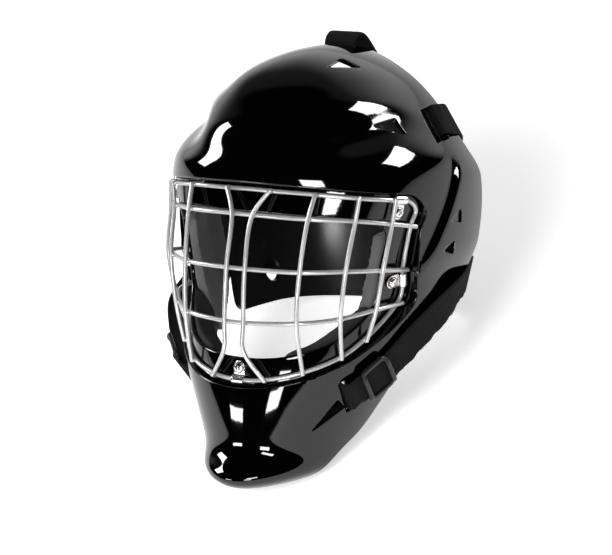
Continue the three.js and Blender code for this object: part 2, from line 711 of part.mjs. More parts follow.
const raised = (p, amount) => vector(p).addScaledVector(faceOutward(p), amount);

// A run of points carried on past its end by a short straight length
function overshot(points, length) {
  const end = points.at(-1);
  const run = new THREE.Vector3().subVectors(end, points.at(-2)).normalize();
  return [...points, end.clone().addScaledVector(run, length)];
}

function levelBar(level) {
  const half = crossings.filter((row) => row.level === level).map(vector);
  const side = frameStations.find((row) => row.level === level && row.upright === 5);
  const right = overshot([...half, raised(framePoint(side.x, side.z), weldSpacing)], barOvershoot);
  const left = right.map(mirrored).reverse();
  return wireAlong([...left, ...right], wireSteps.level);
}

function uprightBar(upright) {
  const [top, foot] = frameStations.filter((row) => row.upright === upright)
    .map((row) => framePoint(row.x, row.z));
  const between = crossings.filter((row) => row.upright === upright);
  const points = [top, ...between, foot].map((point) => raised(point, weldSpacing));
  const run = overshot(overshot(points, endOvershoot).reverse(), endOvershoot);
  return wireAlong(run, upright === 1 ? wireSteps.bentUpright : wireSteps.upright);
}

const frameTube = solidOf(new THREE.TubeGeometry(frameLoop, wireSteps.frame, wireRadius, wireSides, true));
const uprights = [1, 2, 3, 4].map(uprightBar);
const cage = joined([frameTube, ...[1, 2, 3].map(levelBar), ...uprights, ...uprights.map(mirroredX)]);

// Straps
function plateLanding([z, degrees]) {
  const level = levelAt(plateLevels, z);
  const angle = THREE.MathUtils.degToRad(degrees);
  const point = sectionPoint(level, angle);
  const ahead = sectionPoint(level, angle + 0.01).sub(point);
  const above = sectionPoint(levelAt(plateLevels, z + 1), angle).sub(point).normalize();
  const outward = ahead.cross(above).normalize();
  return { point: point.addScaledVector(outward, strapThickness / 2 + 2 * clearance), above };
}

function strapPath(rows, landings, side, across) {
  const bulge = (row) => (side < 0 ? row.leftBulge ?? 0 : 0);
  const centres = rows.map((row) => new THREE.Vector3(row.x + bulge(row), row.y, row.z));
  const widths = rows.map((row) => new THREE.Vector3(row.acrossX, row.acrossY, row.acrossZ));
  for (const landing of landings.map(plateLanding)) {
    centres.push(landing.point);
    widths.push(across ?? landing.above.clone().negate());
  }
  if (side < 0) [...centres, ...widths].forEach((p) => { p.x *= -1; });
  return {
    centre: new THREE.CatmullRomCurve3(centres, false, 'centripetal'),
    width: new THREE.CatmullRomCurve3(widths, false, 'centripetal'),
    count: centres.length,
  };
}

// Middle, width and thickness directions at a place along a strap
function strapFrame(path, t) {
  const along = path.centre.getTangent(t);
  const across = path.width.getPoint(t);
  across.addScaledVector(along, -across.dot(along)).normalize();
  const face = new THREE.Vector3().crossVectors(along, across).normalize();
  return { middle: path.centre.getPoint(t), along, across, face };
}

function strapSolid(path) {
  const steps = Math.round((path.count - 1) * strapStepsPerRow);
  const rings = [];
  for (let k = 0; k <= steps; k += 1) {
    const { middle, across, face } = strapFrame(path, k / steps);
    rings.push([[-1, -1], [1, -1], [1, 1], [-1, 1]].map(([a, b]) => middle.clone()
      .addScaledVector(across, (a * strapWidth) / 2)
      .addScaledVector(face, (b * strapThickness) / 2)));
  }
  return solidOf(loft(rings));
}

const strapKeepOut = shellClear.subtract(rearTrim).subtract(topSlotCut).subtract(ventCuts);
const clearOfShell = (solid) => solid.subtract(strapKeepOut).subtract(plateClear);
const strapPaths = {
  strap_top: strapPath(topStrap, strapLandings.top, 1, new THREE.Vector3(1, 0, 0)),
  strap_upper_right: strapPath(upperStrap, strapLandings.upper, 1),
  strap_upper_left: strapPath(upperStrap, strapLandings.upper, -1),
  strap_lower_right: strapPath(lowerStrap, strapLandings.lower, 1),
  strap_lower_left: strapPath(lowerStrap, strapLandings.lower, -1),
};

// Slider: a frame on the outside of a lower strap, with a bar over the webbing at each end
function sliderSolid(path) {
  const { middle, along, across, face } = strapFrame(path, sliderPlace);
  const outward = face.clone();
  if (outward.dot(new THREE.Vector3(middle.x, 0, 0)) < 0) outward.negate();
  const rise = strapThickness / 2 + 2 * clearance + sliderHeight / 2;
  const centre = middle.clone().addScaledVector(outward, rise);
  const block = (length, width, height) => turnedBlock(
    [length, width, height], centre.toArray(), along.toArray(), outward.toArray(),
  );
  const outer = block(sliderLength, strapWidth + 2 * sliderBar, sliderHeight);
  return outer.subtract(block(sliderLength - 2 * sliderBar, strapWidth, sliderHeight * 3));
}

// Pads
const padAngles = ringAngles(frontSpan, facets.pad, facets.behind);
const padSolid = (levels, inset) => levelSolid(levels, rowCounts.pad, padAngles, inset);
const padFront = flangeBack + padGap;
const flangeZone = facePlug(frameLoop, recessMargin + flangeWall + padGap).subtract(framed(padFront));
const cheekCut = (outline) => sideCutter(softOutline(outline, 'y', 'z'), padSpan.fromX, padSpan.toX);
const cheekBase = padSeat.subtract(padSolid(foamLevels, 0))
  .intersect(cheekCut(cheekBaseOutline))
  .subtract(flangeZone);
const cheekLiner = padSolid(foamLevels, clearance).subtract(padSolid(headLevels, 0))
  .intersect(cheekCut(cheekLinerOutline))
  .subtract(flangeZone);
const jawPad = framed(padFront).subtract(framed(padFront + jawPadDepth))
  .intersect(frontCutter(softOutline(jawPadOutline, 'x', 'z'), jawSpan.fromY, jawSpan.toY))
  .intersect(padSeat);

// Assembly
const mask = new THREE.Group();

function addPiece(name, geometry, finish) {
  const piece = new THREE.Mesh(geometry, new THREE.MeshStandardMaterial(finish));
  piece.name = name;
  mask.add(piece);
}

function addPair(name, solid, finish) {
  addPiece(`${name}_right`, geometryOf(solid), finish);
  addPiece(`${name}_left`, geometryOf(mirroredX(solid)), finish);
}

addPiece('shell', geometryOf(shell), finishes.shell);
addPiece('backplate', geometryOf(backplate), finishes.plate);
addPiece('cage', geometryOf(cage), finishes.steel);
for (const frame of clipFrames) {
  addPiece(`clip_${frame.name}`, geometryOf(clipSolid(frame).subtract(screwHole(frame))), finishes.steel);
  addPiece(`screw_${frame.name}`, screwGeometry(frame), finishes.steel);
}
for (const [name, path] of Object.entries(strapPaths)) {
  addPiece(name, geometryOf(clearOfShell(strapSolid(path))), finishes.webbing);
}
addPiece('slider_right', geometryOf(sliderSolid(strapPaths.strap_lower_right)), finishes.slider);
addPiece('slider_left', geometryOf(sliderSolid(strapPaths.strap_lower_left)), finishes.slider);
addPair('cheek_base', cheekBase, finishes.baseFoam);
addPair('cheek_liner', cheekLiner, finishes.comfortFoam);
addPair('jaw_pad', jawPad, finishes.baseFoam);

// Pitched back on to the surface, with the origin under the middle of the whole
const goalieMask = new THREE.Group();
mask.rotation.x = -restPitch;
goalieMask.add(mask);
goalieMask.updateMatrixWorld(true);
const reach = new THREE.Box3().setFromObject(goalieMask, true);
mask.position.set(0, -(reach.min.y + reach.max.y) / 2, -floorHeight);

export default goalieMask;
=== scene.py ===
import math
import bpy
import numpy as np
from mathutils import Matrix, Quaternion, Vector
from mathutils.bvhtree import BVHTree


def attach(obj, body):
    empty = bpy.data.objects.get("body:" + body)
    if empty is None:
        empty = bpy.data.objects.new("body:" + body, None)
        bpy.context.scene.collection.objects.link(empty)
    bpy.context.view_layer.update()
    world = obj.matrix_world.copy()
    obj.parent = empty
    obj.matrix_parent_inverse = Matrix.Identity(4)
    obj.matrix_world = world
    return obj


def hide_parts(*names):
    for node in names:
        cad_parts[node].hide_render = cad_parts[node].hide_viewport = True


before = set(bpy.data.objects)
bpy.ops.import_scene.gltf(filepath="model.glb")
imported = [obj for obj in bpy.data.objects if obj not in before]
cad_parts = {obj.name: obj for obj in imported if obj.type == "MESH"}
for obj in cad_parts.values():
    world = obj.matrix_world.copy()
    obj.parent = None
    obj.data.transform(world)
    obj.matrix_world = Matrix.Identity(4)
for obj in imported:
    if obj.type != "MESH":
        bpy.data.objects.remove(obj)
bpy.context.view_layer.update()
scene = bpy.context.scene
print("frame loaded:", len(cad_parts), "solids")

# Everything is drawn upright in millimetres, face towards -Y, then pitched back on to the floor in metres.
mm = 0.001
restPose = {"pitch": 30.5, "shiftY": -60.802, "shiftZ": 138.25}
tilt = Matrix.Rotation(-math.radians(restPose["pitch"]), 3, "X")
tiltAxes = np.array(tilt)
floorShift = np.array([0, restPose["shiftY"], restPose["shiftZ"]])
mirrored = np.array([-1, 1, 1])
squareCorners = ((-1, -1), (1, -1), (1, 1), (-1, 1))


def onFloor(points):
    return (np.asarray(points, float) @ tiltAxes.T + floorShift) * mm


def outFrom(turn, lift):  # a direction by its turn from the front and its height, in degrees
    turn, lift = math.radians(turn), math.radians(lift)
    return Vector((math.sin(turn) * math.cos(lift), -math.cos(turn) * math.cos(lift), math.sin(lift)))


# camera

view = {"azimuth": 33.0, "elevation": 9.3, "focalPixels": 3000.0, "pixelsPerMm": 1.42, "aside": 41.4,
        "imageWidth": 612, "sensor": 36.0, "farthest": 50.0}


def placeCamera():
    back = outFrom(view["azimuth"], view["elevation"])
    right = Vector((-back.y, back.x, 0)).normalized()
    spot = back * (view["focalPixels"] / view["pixelsPerMm"]) + right * view["aside"]
    lens = bpy.data.cameras.new("photoCamera")
    lens.sensor_width = view["sensor"]
    lens.lens = view["focalPixels"] / view["imageWidth"] * view["sensor"]
    lens.clip_end = view["farthest"]
    camera = bpy.data.objects.new("photoCamera", lens)
    axes = tilt @ Matrix((right, back.cross(right), back)).transposed()
    camera.matrix_world = Matrix.Translation(Vector(onFloor(spot))) @ axes.to_4x4()
    scene.collection.objects.link(camera)
    scene.camera = camera


placeCamera()
print("camera placed")


# shader maths on sockets

class Shade:
    def __init__(self, tree, socket=None):
        self.tree, self.socket = tree, socket

    def make(self, kind, settings=None, sockets=None, out=0):
        made = self.tree.nodes.new(kind)
        for name, value in (settings or {}).items():
            setattr(made, name, value)
        for name, value in (sockets or {}).items():
            if isinstance(value, Shade):
                self.tree.links.new(value.socket, made.inputs[name])
            else:
                made.inputs[name].default_value = value
        return Shade(self.tree, made.outputs[out])

    def sum(self, operation, first, second):
        return self.make("ShaderNodeMath", {"operation": operation}, {0: first, 1: second})

    def __add__(self, other):
        return self.sum("ADD", self, other)

    def __radd__(self, other):
        return self.sum("ADD", other, self)

    def __sub__(self, other):
        return self.sum("SUBTRACT", self, other)

    def __rsub__(self, other):
        return self.sum("SUBTRACT", other, self)

    def __mul__(self, other):
        return self.sum("MULTIPLY", self, other)

    def __rmul__(self, other):
        return self.sum("MULTIPLY", other, self)

    def wave(self):
        return self.sum("SINE", self, 0.0)

    def noise(self, scale, detail=2.0, rough=0.5):
        return self.make("ShaderNodeTexNoise", None,
                         {"Vector": self, "Scale": scale, "Detail": detail, "Roughness": rough})

    def between(self, low, high):
        return self.make("ShaderNodeMapRange", None, {"Value": self, "To Min": low, "To Max": high})

    def tint(self, first, second):
        return self.make("ShaderNodeMix", {"data_type": "RGBA"}, {"Factor": self, 6: first, 7: second}, out=2)

    def bump(self, strength, distance):
        return self.make("ShaderNodeBump", None, {"Height": self, "Strength": strength, "Distance": distance})


def grey(value, warm=0.0):
    return (value * (1 + warm), value, value * (1 - warm), 1.0)


labels = {"colour": "Base Color", "rough": "Roughness", "metal": "Metallic", "normal": "Normal",
          "index": "IOR", "sheen": "Sheen Weight", "sheenRough": "Sheen Roughness",
          "specular": "Specular IOR Level", "glowColour": "Emission Color", "glow": "Emission Strength"}


def newFinish(name):
    material = bpy.data.materials.new(name)
    material.use_nodes = True
    tree = material.node_tree
    body = tree.nodes["Principled BSDF"]
    spot = Shade(tree).make("ShaderNodeTexCoord", out=3)  # object coordinates, in metres

    def feed(**sockets):
        for label, value in sockets.items():
            socket = body.inputs[labels[label]]
            if isinstance(value, Shade):
                tree.links.new(value.socket, socket)
            else:
                socket.default_value = value
    return material, spot, feed


# scale and detail of grain and haze, darkest and palest grey, range of roughness, strength and depth of bump
hardFinishes = {
    "gloss": {"name": "glossBlack", "grain": (420, 1), "haze": (38, 3), "tones": (0.0002, 0.0005),
              "rough": (0.035, 0.06), "bump": (0.012, 0.0006), "index": 1.5},
    "inside": {"name": "mouldedInside", "grain": (1400, 2), "haze": (25, 3), "tones": (0.016, 0.03),
               "rough": (0.3, 0.42), "bump": (0.12, 0.0004), "index": 1.5},
    # painted shade: a flat black with almost no reflection, standing for the dark inside the jaw vents
    "paintedVentShade": {"name": "jawVentPaintedShade", "grain": (900, 2), "haze": (900, 2), "tones": (0.0005, 0.0015),
                  "rough": (0.85, 0.98), "bump": (0.2, 0.0004), "specular": 0.04},
    "cup": {"name": "cupPlastic", "grain": (1600, 2), "haze": (18, 3), "tones": (0.007, 0.012),
            "rough": (0.2, 0.32), "bump": (0.06, 0.0004), "index": 1.5},
    "wire": {"name": "brightWire", "grain": (900, 2), "haze": (60, 2), "tones": (0.44, 0.54),
             "rough": (0.24, 0.34), "roughBy": "grain", "bump": (0.05, 0.0002), "metal": 0.6},
    "plated": {"name": "platedSteel", "grain": (1200, 2), "haze": (120, 2), "tones": (0.62, 0.8),
               "warmth": (0.02, 0.01), "rough": (0.16, 0.3), "bump": (0.06, 0.0002), "metal": 1.0},
    "slider": {"name": "sliderPlastic", "grain": (1500, 2), "haze": (90, 2), "tones": (0.003, 0.006),
               "rough": (0.34, 0.48), "bump": (0.1, 0.0003), "index": 1.5, "specular": 0.35},
}
webMake = {"ribPitch": 0.0019, "cordPitch": 0.0011}  # in metres


def hardFinish(name, grain, haze, tones, rough, bump, warmth=(0.0, 0.0), roughBy="haze", **fixed):
    material, spot, feed = newFinish(name)
    noises = {"grain": spot.noise(*grain), "haze": spot.noise(*haze)}
    dark, pale = (grey(tone, warm) for tone, warm in zip(tones, warmth))
    feed(colour=noises["haze"].tint(dark, pale), rough=noises[roughBy].between(*rough),
         normal=noises["grain"].bump(*bump), **fixed)
    return material


def ribbedWebbing():
    material, spot, feed = newFinish("ribbedWebbing")
    lay = spot.make("ShaderNodeUVMap", {"uv_map": "lay"})  # along and across the strap, in metres
    along, across = (spot.make("ShaderNodeSeparateXYZ", None, {0: lay}, out=k) for k in (0, 1))
    rib = (along * (2 * math.pi / webMake["ribPitch"])).wave() * 0.5 + 0.5
    cord = (across * (2 * math.pi / webMake["cordPitch"])).wave() * 0.5 + 0.5
    fuzz = spot.noise(2600, 3)
    weave = rib * 0.5 + cord * 0.3 + fuzz * 0.35
    feed(colour=weave.tint(grey(0.001), grey(0.006)), rough=fuzz.between(0.75, 0.95), specular=0.12,
         sheen=0.015, sheenRough=0.5, normal=weave.bump(0.6, 0.0004))
    return material


# dark foam of the cheek bases, and painted shade on the jaw pads
def darkFoamAndPaintedShade():
    material, spot, feed = newFinish("darkFoamAndPaintedShade")
    pores = spot.make("ShaderNodeTexVoronoi", None, {"Vector": spot, "Scale": 900})
    haze = spot.noise(60, 3)
    feed(colour=haze.tint(grey(0.012), grey(0.028)), rough=haze.between(0.82, 0.95), specular=0.3,
         normal=pores.bump(0.35, 0.0004))
    return material


def comfortFoam():
    material, spot, feed = newFinish("comfortFoam")
    nap = spot.noise(2200, 4, 0.7)
    tone = nap * 0.5 + spot.noise(45, 3) * 0.5
    feed(colour=tone.tint(grey(0.055), grey(0.15)), rough=0.95, specular=0.2, sheen=0.2, sheenRough=0.5,
         normal=nap.bump(0.4, 0.0005))
    return material


finishes = {key: hardFinish(**make) for key, make in hardFinishes.items()}
finishes.update({"webbing": ribbedWebbing(), "base": darkFoamAndPaintedShade(), "comfort": comfortFoam()})
print("finishes mixed:", len(finishes))


# level sections and lines

def columns(names, rows):
    return {name: np.array([row[k] for row in rows], float) for k, name in enumerate(names.split())}


def blendLevels(levels, position):
    position = np.asarray(position, float)
    last = len(levels["z"]) - 1
    row = np.minimum(np.floor(position).astype(int), last - 1)
    t = position - row
    weights = [(1 - t) ** 3, 3 * t ** 3 - 6 * t ** 2 + 4, -3 * t ** 3 + 3 * t ** 2 + 3 * t + 1, t ** 3]
    mixed = {}
    for name, column in levels.items():
        control = np.concatenate([[2 * column[0] - column[1]], column, [2 * column[-1] - column[-2]]])
        mixed[name] = sum(weight * control[row + k] for k, weight in enumerate(weights)) / 6
    return mixed


def levelAt(levels, z):
    z = np.asarray(z, float)
    low, high = np.zeros(z.shape), np.full(z.shape, len(levels["z"]) - 1.0)
    for halving in range(40):
        middle = (low + high) / 2
        below = blendLevels(levels, middle)["z"] < z
        low, high = np.where(below, middle, low), np.where(below, high, middle)
    return blendLevels(levels, low)


def sectionPoints(level, angle):  # the angle runs from the front, through the right side, to the back
    power = 2 / level["square"]
    across = np.sign(np.sin(angle)) * np.abs(np.sin(angle)) ** power
    along = np.sign(np.cos(angle)) * np.abs(np.cos(angle)) ** power
    depth = np.where(along > 0, level["widest"] - level["front"], level["back"] - level["widest"])
    x, y = level["half"] * across, level["widest"] - depth * along
    return np.stack([x, y, level["z"] + 0 * x], axis=-1)


def unit(vectors):
    vectors = np.asarray(vectors, float)
    return vectors / np.maximum(np.linalg.norm(vectors, axis=-1, keepdims=True), 1e-12)


def gridNormals(grid):
    around = np.roll(grid, -1, axis=1) - np.roll(grid, 1, axis=1)
    along = np.concatenate([grid[1:2] - grid[:1], grid[2:] - grid[:-2], grid[-1:] - grid[-2:-1]])
    return unit(np.cross(around, along))


def levelGrid(levels, rows, angles, inset=0.0, relief=None):
    position = np.linspace(0, len(levels["z"]) - 1, rows + 1)
    level = {name: column[:, None] for name, column in blendLevels(levels, position).items()}
    grid = sectionPoints(level, angles[None, :])
    if relief:
        grid = grid + gridNormals(grid) * relief(grid)[..., None]
    return grid - gridNormals(grid) * inset


def ringAngles(frontSpan, frontCount, backCount):
    span = math.radians(frontSpan)
    front = np.linspace(-span, span, frontCount + 1)
    return np.concatenate([front, np.linspace(span, 2 * math.pi - span, backCount + 1)[1:-1]])


def smoothLine(points, closed=False, dense=24):  # centripetal curve through the points
    spots = np.asarray(points, float)
    count = len(spots)
    runs = []
    for k in range(count if closed else count - 1):
        p1, p2 = spots[k], spots[(k + 1) % count]
        p0 = spots[k - 1] if closed or k > 0 else 2 * spots[0] - spots[1]
        p3 = spots[(k + 2) % count] if closed or k + 2 < count else 2 * spots[-1] - spots[-2]
        d0, d1, d2 = (max(np.linalg.norm(b - a), 1e-6) ** 0.5 for a, b in ((p0, p1), (p1, p2), (p2, p3)))
        m1 = ((p1 - p0) / d0 - (p2 - p0) / (d0 + d1) + (p2 - p1) / d1) * d1
        m2 = ((p2 - p1) / d1 - (p3 - p1) / (d1 + d2) + (p3 - p2) / d2) * d1
        t = np.linspace(0, 1, dense, endpoint=False)[:, None]
        square, cube = 3 * p2 - 3 * p1 - 2 * m1 - m2, 2 * p1 - 2 * p2 + m1 + m2
        runs.append(p1 + m1 * t + square * t ** 2 + cube * t ** 3)
    if not closed:
        runs.append(spots[-1:])
    return np.concatenate(runs)


def spaced(line, count, closed=False):
    line = np.concatenate([line, line[:1]]) if closed else line
    reach = np.concatenate([[0], np.cumsum(np.linalg.norm(np.diff(line, axis=0), axis=1))])
    wanted = np.linspace(0, reach[-1], count + 1)[:-1] if closed else np.linspace(0, reach[-1], count)
    return np.stack([np.interp(wanted, reach, line[:, k]) for k in range(line.shape[1])], axis=1)


def lineLength(line):
    return float(np.linalg.norm(np.diff(line, axis=0), axis=1).sum())


def tangents(line, closed=False):
    if closed:
        return unit(np.roll(line, -1, axis=0) - np.roll(line, 1, axis=0))
    return unit(np.gradient(line, axis=0))


# meshes

def loft(rings, closedEnds=True, caps=None):
    rings = np.asarray(rings, float)
    last, count = len(rings) - 1, rings.shape[1]
    points = rings.reshape(-1, 3)
    steps = [(i * count, (i + 1) * count, j, (j + 1) % count) for i in range(last) for j in range(count)]
    faces = [(here + j, here + beside, above + beside, above + j) for here, above, j, beside in steps]
    if closedEnds:
        ends = caps or (rings[0].mean(axis=0), rings[-1].mean(axis=0))
        points = np.concatenate([points, ends])
        first, second = len(points) - 2, len(points) - 1
        faces += [(first, (j + 1) % count, j) for j in range(count)]
        faces += [(second, last * count + j, last * count + (j + 1) % count) for j in range(count)]
    return points, outwardFaces(points, faces)


def outwardFaces(points, faces):
    volume = 0.0
    for size in sorted({len(face) for face in faces}):
        corners = points[np.array([face for face in faces if len(face) == size])]
        for k in range(1, size - 1):
            volume += np.sum(corners[:, 0] * np.cross(corners[:, k], corners[:, k + 1]))
    return faces if volume > 0 else [tuple(reversed(face)) for face in faces]


def draft(points, faces, name="draft"):
    mesh = bpy.data.meshes.new(name)
    mesh.from_pydata(np.asarray(points).tolist(), [], faces)
    mesh.update()
    piece = bpy.data.objects.new(name, mesh)
    scene.collection.objects.link(piece)
    return piece


def settle(piece):  # keeps what the modifiers make
    bpy.context.view_layer.update()
    made = bpy.data.meshes.new_from_object(piece.evaluated_get(bpy.context.evaluated_depsgraph_get()))
    old = piece.data
    piece.modifiers.clear()
    piece.data = made
    bpy.data.meshes.remove(old)
    return piece


def combine(piece, tool, operation="DIFFERENCE"):
    change = piece.modifiers.new("combine", "BOOLEAN")
    change.operation, change.solver, change.object = operation, "MANIFOLD", tool
    settle(piece)
    used = tool.data
    bpy.data.objects.remove(tool)
    bpy.data.meshes.remove(used)


def joinDrafts(parts):  # several closed forms in one mesh
    points, faces, start = [], [], 0
    for somePoints, someFaces in parts:
        points.append(np.asarray(somePoints))
        faces += [tuple(corner + start for corner in face) for face in someFaces]
        start += len(somePoints)
    return np.concatenate(points), faces


def mirroredParts(points, faces):
    return points * mirrored, [tuple(reversed(face)) for face in faces]


def dress(piece, slot, materials, nodes):
    piece.data.materials.clear()
    for material in materials:
        piece.data.materials.append(material)
    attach(piece, "root")
    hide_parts(*nodes)


def finishPiece(piece, name, slot, materials, nodes, sharp=40.0):
    mesh = piece.data
    spots = np.empty(len(mesh.vertices) * 3)
    mesh.vertices.foreach_get("co", spots)
    spots = onFloor(spots.reshape(-1, 3))
    spots[:, 2] = np.maximum(spots[:, 2], 0.0)
    mesh.vertices.foreach_set("co", spots.ravel())
    mesh.update()
    mesh.shade_smooth()
    mesh.set_sharp_from_angle(angle=math.radians(sharp))
    piece.name = mesh.name = name
    dress(piece, slot, materials, nodes)
    return piece


# the surface that the frame wire lies on

frameLevels = columns("z front half widest back square", [
    [-110, -9, 64, 97, 150, 2.4], [-80, -10, 75.5, 97, 170, 2.4], [-60, -11.5, 83, 97, 180, 2.4],
    [-40, -9.5, 85, 97, 185, 2.4], [-18, -7.5, 89.2, 97, 190, 2.4], [6, -4, 93.6, 97, 190, 2.4],
    [37, 1, 101.2, 97, 190, 2.5], [62, 4.5, 103.5, 97, 190, 2.65], [84, 7, 106, 97, 190, 2.65],
    [110, 9, 108, 97, 190, 2.65],
])
frameStations = columns("level upright x z", [
    [0, 0, 0, 62.4], [0, 1, 17.9, 62.2], [0, 2, 51.3, 61.4], [0, 3, 77.4, 59.1], [0, 4, 93.5, 56.6],
    [0, 5, 98.4, 54.8], [0.5, 5, 99.6, 50], [1, 5, 97.2, 37.4], [2, 5, 90.7, 6], [3, 5, 86.3, -18.6],
    [4, 4, 75, -42.4], [4, 3, 65, -53.9], [4, 2, 45.6, -63.7], [4, 1, 21.2, -69.9], [4, 0, 0, -71.6],
])
openingStations = columns("x z", [
    [0, 46.4], [50, 45.4], [74, 43.4], [85.5, 40], [89.5, 33], [84.8, 6], [82, -15], [75.5, -30], [64.5, -42],
    [45, -50.6], [20, -54.8], [0, -55.6],
])


def framePoints(x, z):
    level = levelAt(frameLevels, z)
    reach = (1 - np.abs(x / level["half"]) ** level["square"]) ** (1 / level["square"])
    y = level["widest"] - (level["widest"] - level["front"]) * reach
    return np.stack([x + 0 * z, y, z + 0 * x], axis=-1)


def faceOutward(points):
    points = np.asarray(points, float)

    def value(x, y, z):
        level = levelAt(frameLevels, z)
        across = np.abs(x / level["half"]) ** level["square"]
        return across + np.abs((level["widest"] - y) / (level["widest"] - level["front"])) ** level["square"]
    x, y, z, step = points[..., 0], points[..., 1], points[..., 2], 0.5
    slope = [value(x + step, y, z) - value(x - step, y, z), value(x, y + step, z) - value(x, y - step, z),
             value(x, y, z + step) - value(x, y, z - step)]
    return unit(np.stack(slope, axis=-1))


def loopOnFace(stations, count):
    x, z = stations["x"], stations["z"]
    half = np.stack([x, 0 * x, z], axis=1)
    flat = spaced(smoothLine(np.concatenate([half, half[1:-1][::-1] * mirrored]), True), 80, True)
    return spaced(smoothLine(framePoints(flat[:, 0], flat[:, 2]), True), count, True)


class FaceLoop:  # a loop on the frame's surface, with its ways aside and out at each point
    def __init__(self, stations, count):
        self.line = loopOnFace(stations, count)
        self.along = tangents(self.line, True)
        self.outward = faceOutward(self.line)
        self.aside = unit(np.cross(self.outward, self.along))

    def ring(self, grow, rise):
        return self.line + self.aside * np.reshape(grow, (-1, 1)) + self.outward * np.reshape(rise, (-1, 1))


frameLoop = FaceLoop(frameStations, 320)
openingLoop = FaceLoop(openingStations, 280)
faceCaps = (np.array([0.0, -90, 0]), np.array([0.0, 80, 0]))

# moulded shell

shellMake = {"wall": 3.5, "flangeFront": 2.2, "flangeWall": 3.0, "recessMargin": 4.5, "lip": 0.9,
             "fillet": 1.6, "edgeRound": 1.1, "cutOut": 30.0, "cutIn": -26.0, "frontSpan": 112, "rows": 192,
             "around": 250, "insideRows": 96, "insideAround": 120}
flare = {"aside": 2.2, "up": 1.2}  # how far a cut widens past its lip, in lips
shellLevels = columns("z front half widest back square", [
    [-150.5, 4, 1, 5, 6, 2], [-150.5, -10, 11, 10, 22, 2], [-148.5, -19, 23, 16, 36, 2],
    [-144, -25, 37, 27, 56, 2], [-138, -25, 49, 43, 85, 2], [-131, -19, 54, 51, 97, 2],
    [-123, -13.4, 58, 58, 110, 2], [-109, -15.2, 64.2, 65.2, 119, 2.05], [-93, -16.3, 71.5, 73, 126, 2.1],
    [-78, -16.5, 79, 80, 134, 2.15], [-60, -15.5, 87, 88, 146, 2.2], [-38, -14, 95.5, 95, 165, 2.2],
    [-14, -10, 103, 101, 190, 2.2], [12, -7, 108, 103, 210, 2.2], [36, -5, 110, 104, 222, 2.2],
    [54, -6.5, 110, 104, 226, 2.2], [67, -8.5, 109, 104, 226, 2.15], [79, -8.5, 106, 104, 224, 2.15],
    [90, 1, 96, 104, 220, 2.3], [102, 10, 86, 103, 214, 2.4], [116, 15, 75, 102, 205, 2.5],
    [129, 19, 62, 101, 194, 2.5], [141, 28, 45, 100, 180, 2.4], [151, 50, 25, 100, 155, 2.25],
    [156, 76, 10, 100, 125, 2.1], [157, 99, 1, 100, 101, 2],
])
hollows = columns("x z reachX reachZ depth", [
    [0, 102, 76, 15, -7], [0, 119, 30, 17, -3], [48, 131, 18, 14, 2], [66, 103, 20, 14, 8.5],
])
reliefFade = (55, 105)
earPanel = {"topY": 111, "topZ": 84, "footY": 56, "footZ": -8, "height": 4, "run": 7,
            "fadeFoot": (-8, 22), "fadeTop": (64, 84)}
shellEdge = [(16, -165), (18, -150), (23, -140), (36, -125), (52, -110), (63, -91), (73, -70), (97, -45),
             (121, -18), (132, 0), (137, 30), (138, 60), (138, 110), (138, 170)]


def smoothStep(low, high, value):
    t = np.clip((value - low) / (high - low), 0, 1)
    return t * t * (3 - 2 * t)


def shellRelief(grid):
    x, y, z = grid[..., 0], grid[..., 1], grid[..., 2]
    sink = sum(depth * np.exp(-((np.abs(x) - px) / rx) ** 2 - ((z - pz) / rz) ** 2)
               for px, pz, rx, rz, depth in zip(*hollows.values()))
    rise = -sink * (1 - smoothStep(*reliefFade, y))
    crease = unit([earPanel["topY"] - earPanel["footY"], earPanel["topZ"] - earPanel["footZ"]])
    behind = (y - earPanel["footY"]) * crease[1] - (z - earPanel["footZ"]) * crease[0]
    fade = smoothStep(*earPanel["fadeFoot"], z) * (1 - smoothStep(*earPanel["fadeTop"], z))
    return rise + earPanel["height"] * fade * smoothStep(-earPanel["run"] / 2, earPanel["run"] / 2, behind)


def framedSolid(inset):
    return draft(*loft(levelGrid(frameLevels, 60, ringAngles(shellMake["frontSpan"], 150, 20), inset)))


def sideSlab(outline, reach=200.0):  # an outline of the side view, cut right across
    outline = np.asarray(outline, float)
    side = np.full(len(outline), reach)
    rings = [np.stack([sign * side, outline[:, 0], outline[:, 1]], axis=1) for sign in (-1, 1)]
    count = len(outline)
    points = np.concatenate(rings)
    faces = [(j, (j + 1) % count, count + (j + 1) % count, count + j) for j in range(count)]
    faces += [tuple(reversed(range(count))), tuple(range(count, 2 * count))]
    return draft(points, outwardFaces(points, faces))


def floorSlab():
    height = -restPose["shiftZ"]
    corners = [(x, y, z) for x in (-300, 300) for y in (-450, 450) for z in (height - 200, height)]
    faces = [(0, 1, 3, 2), (4, 6, 7, 5), (0, 4, 5, 1), (2, 3, 7, 6), (0, 2, 6, 4), (1, 5, 7, 3)]
    points = np.array(corners, float) @ tiltAxes
    return draft(points, outwardFaces(points, faces))


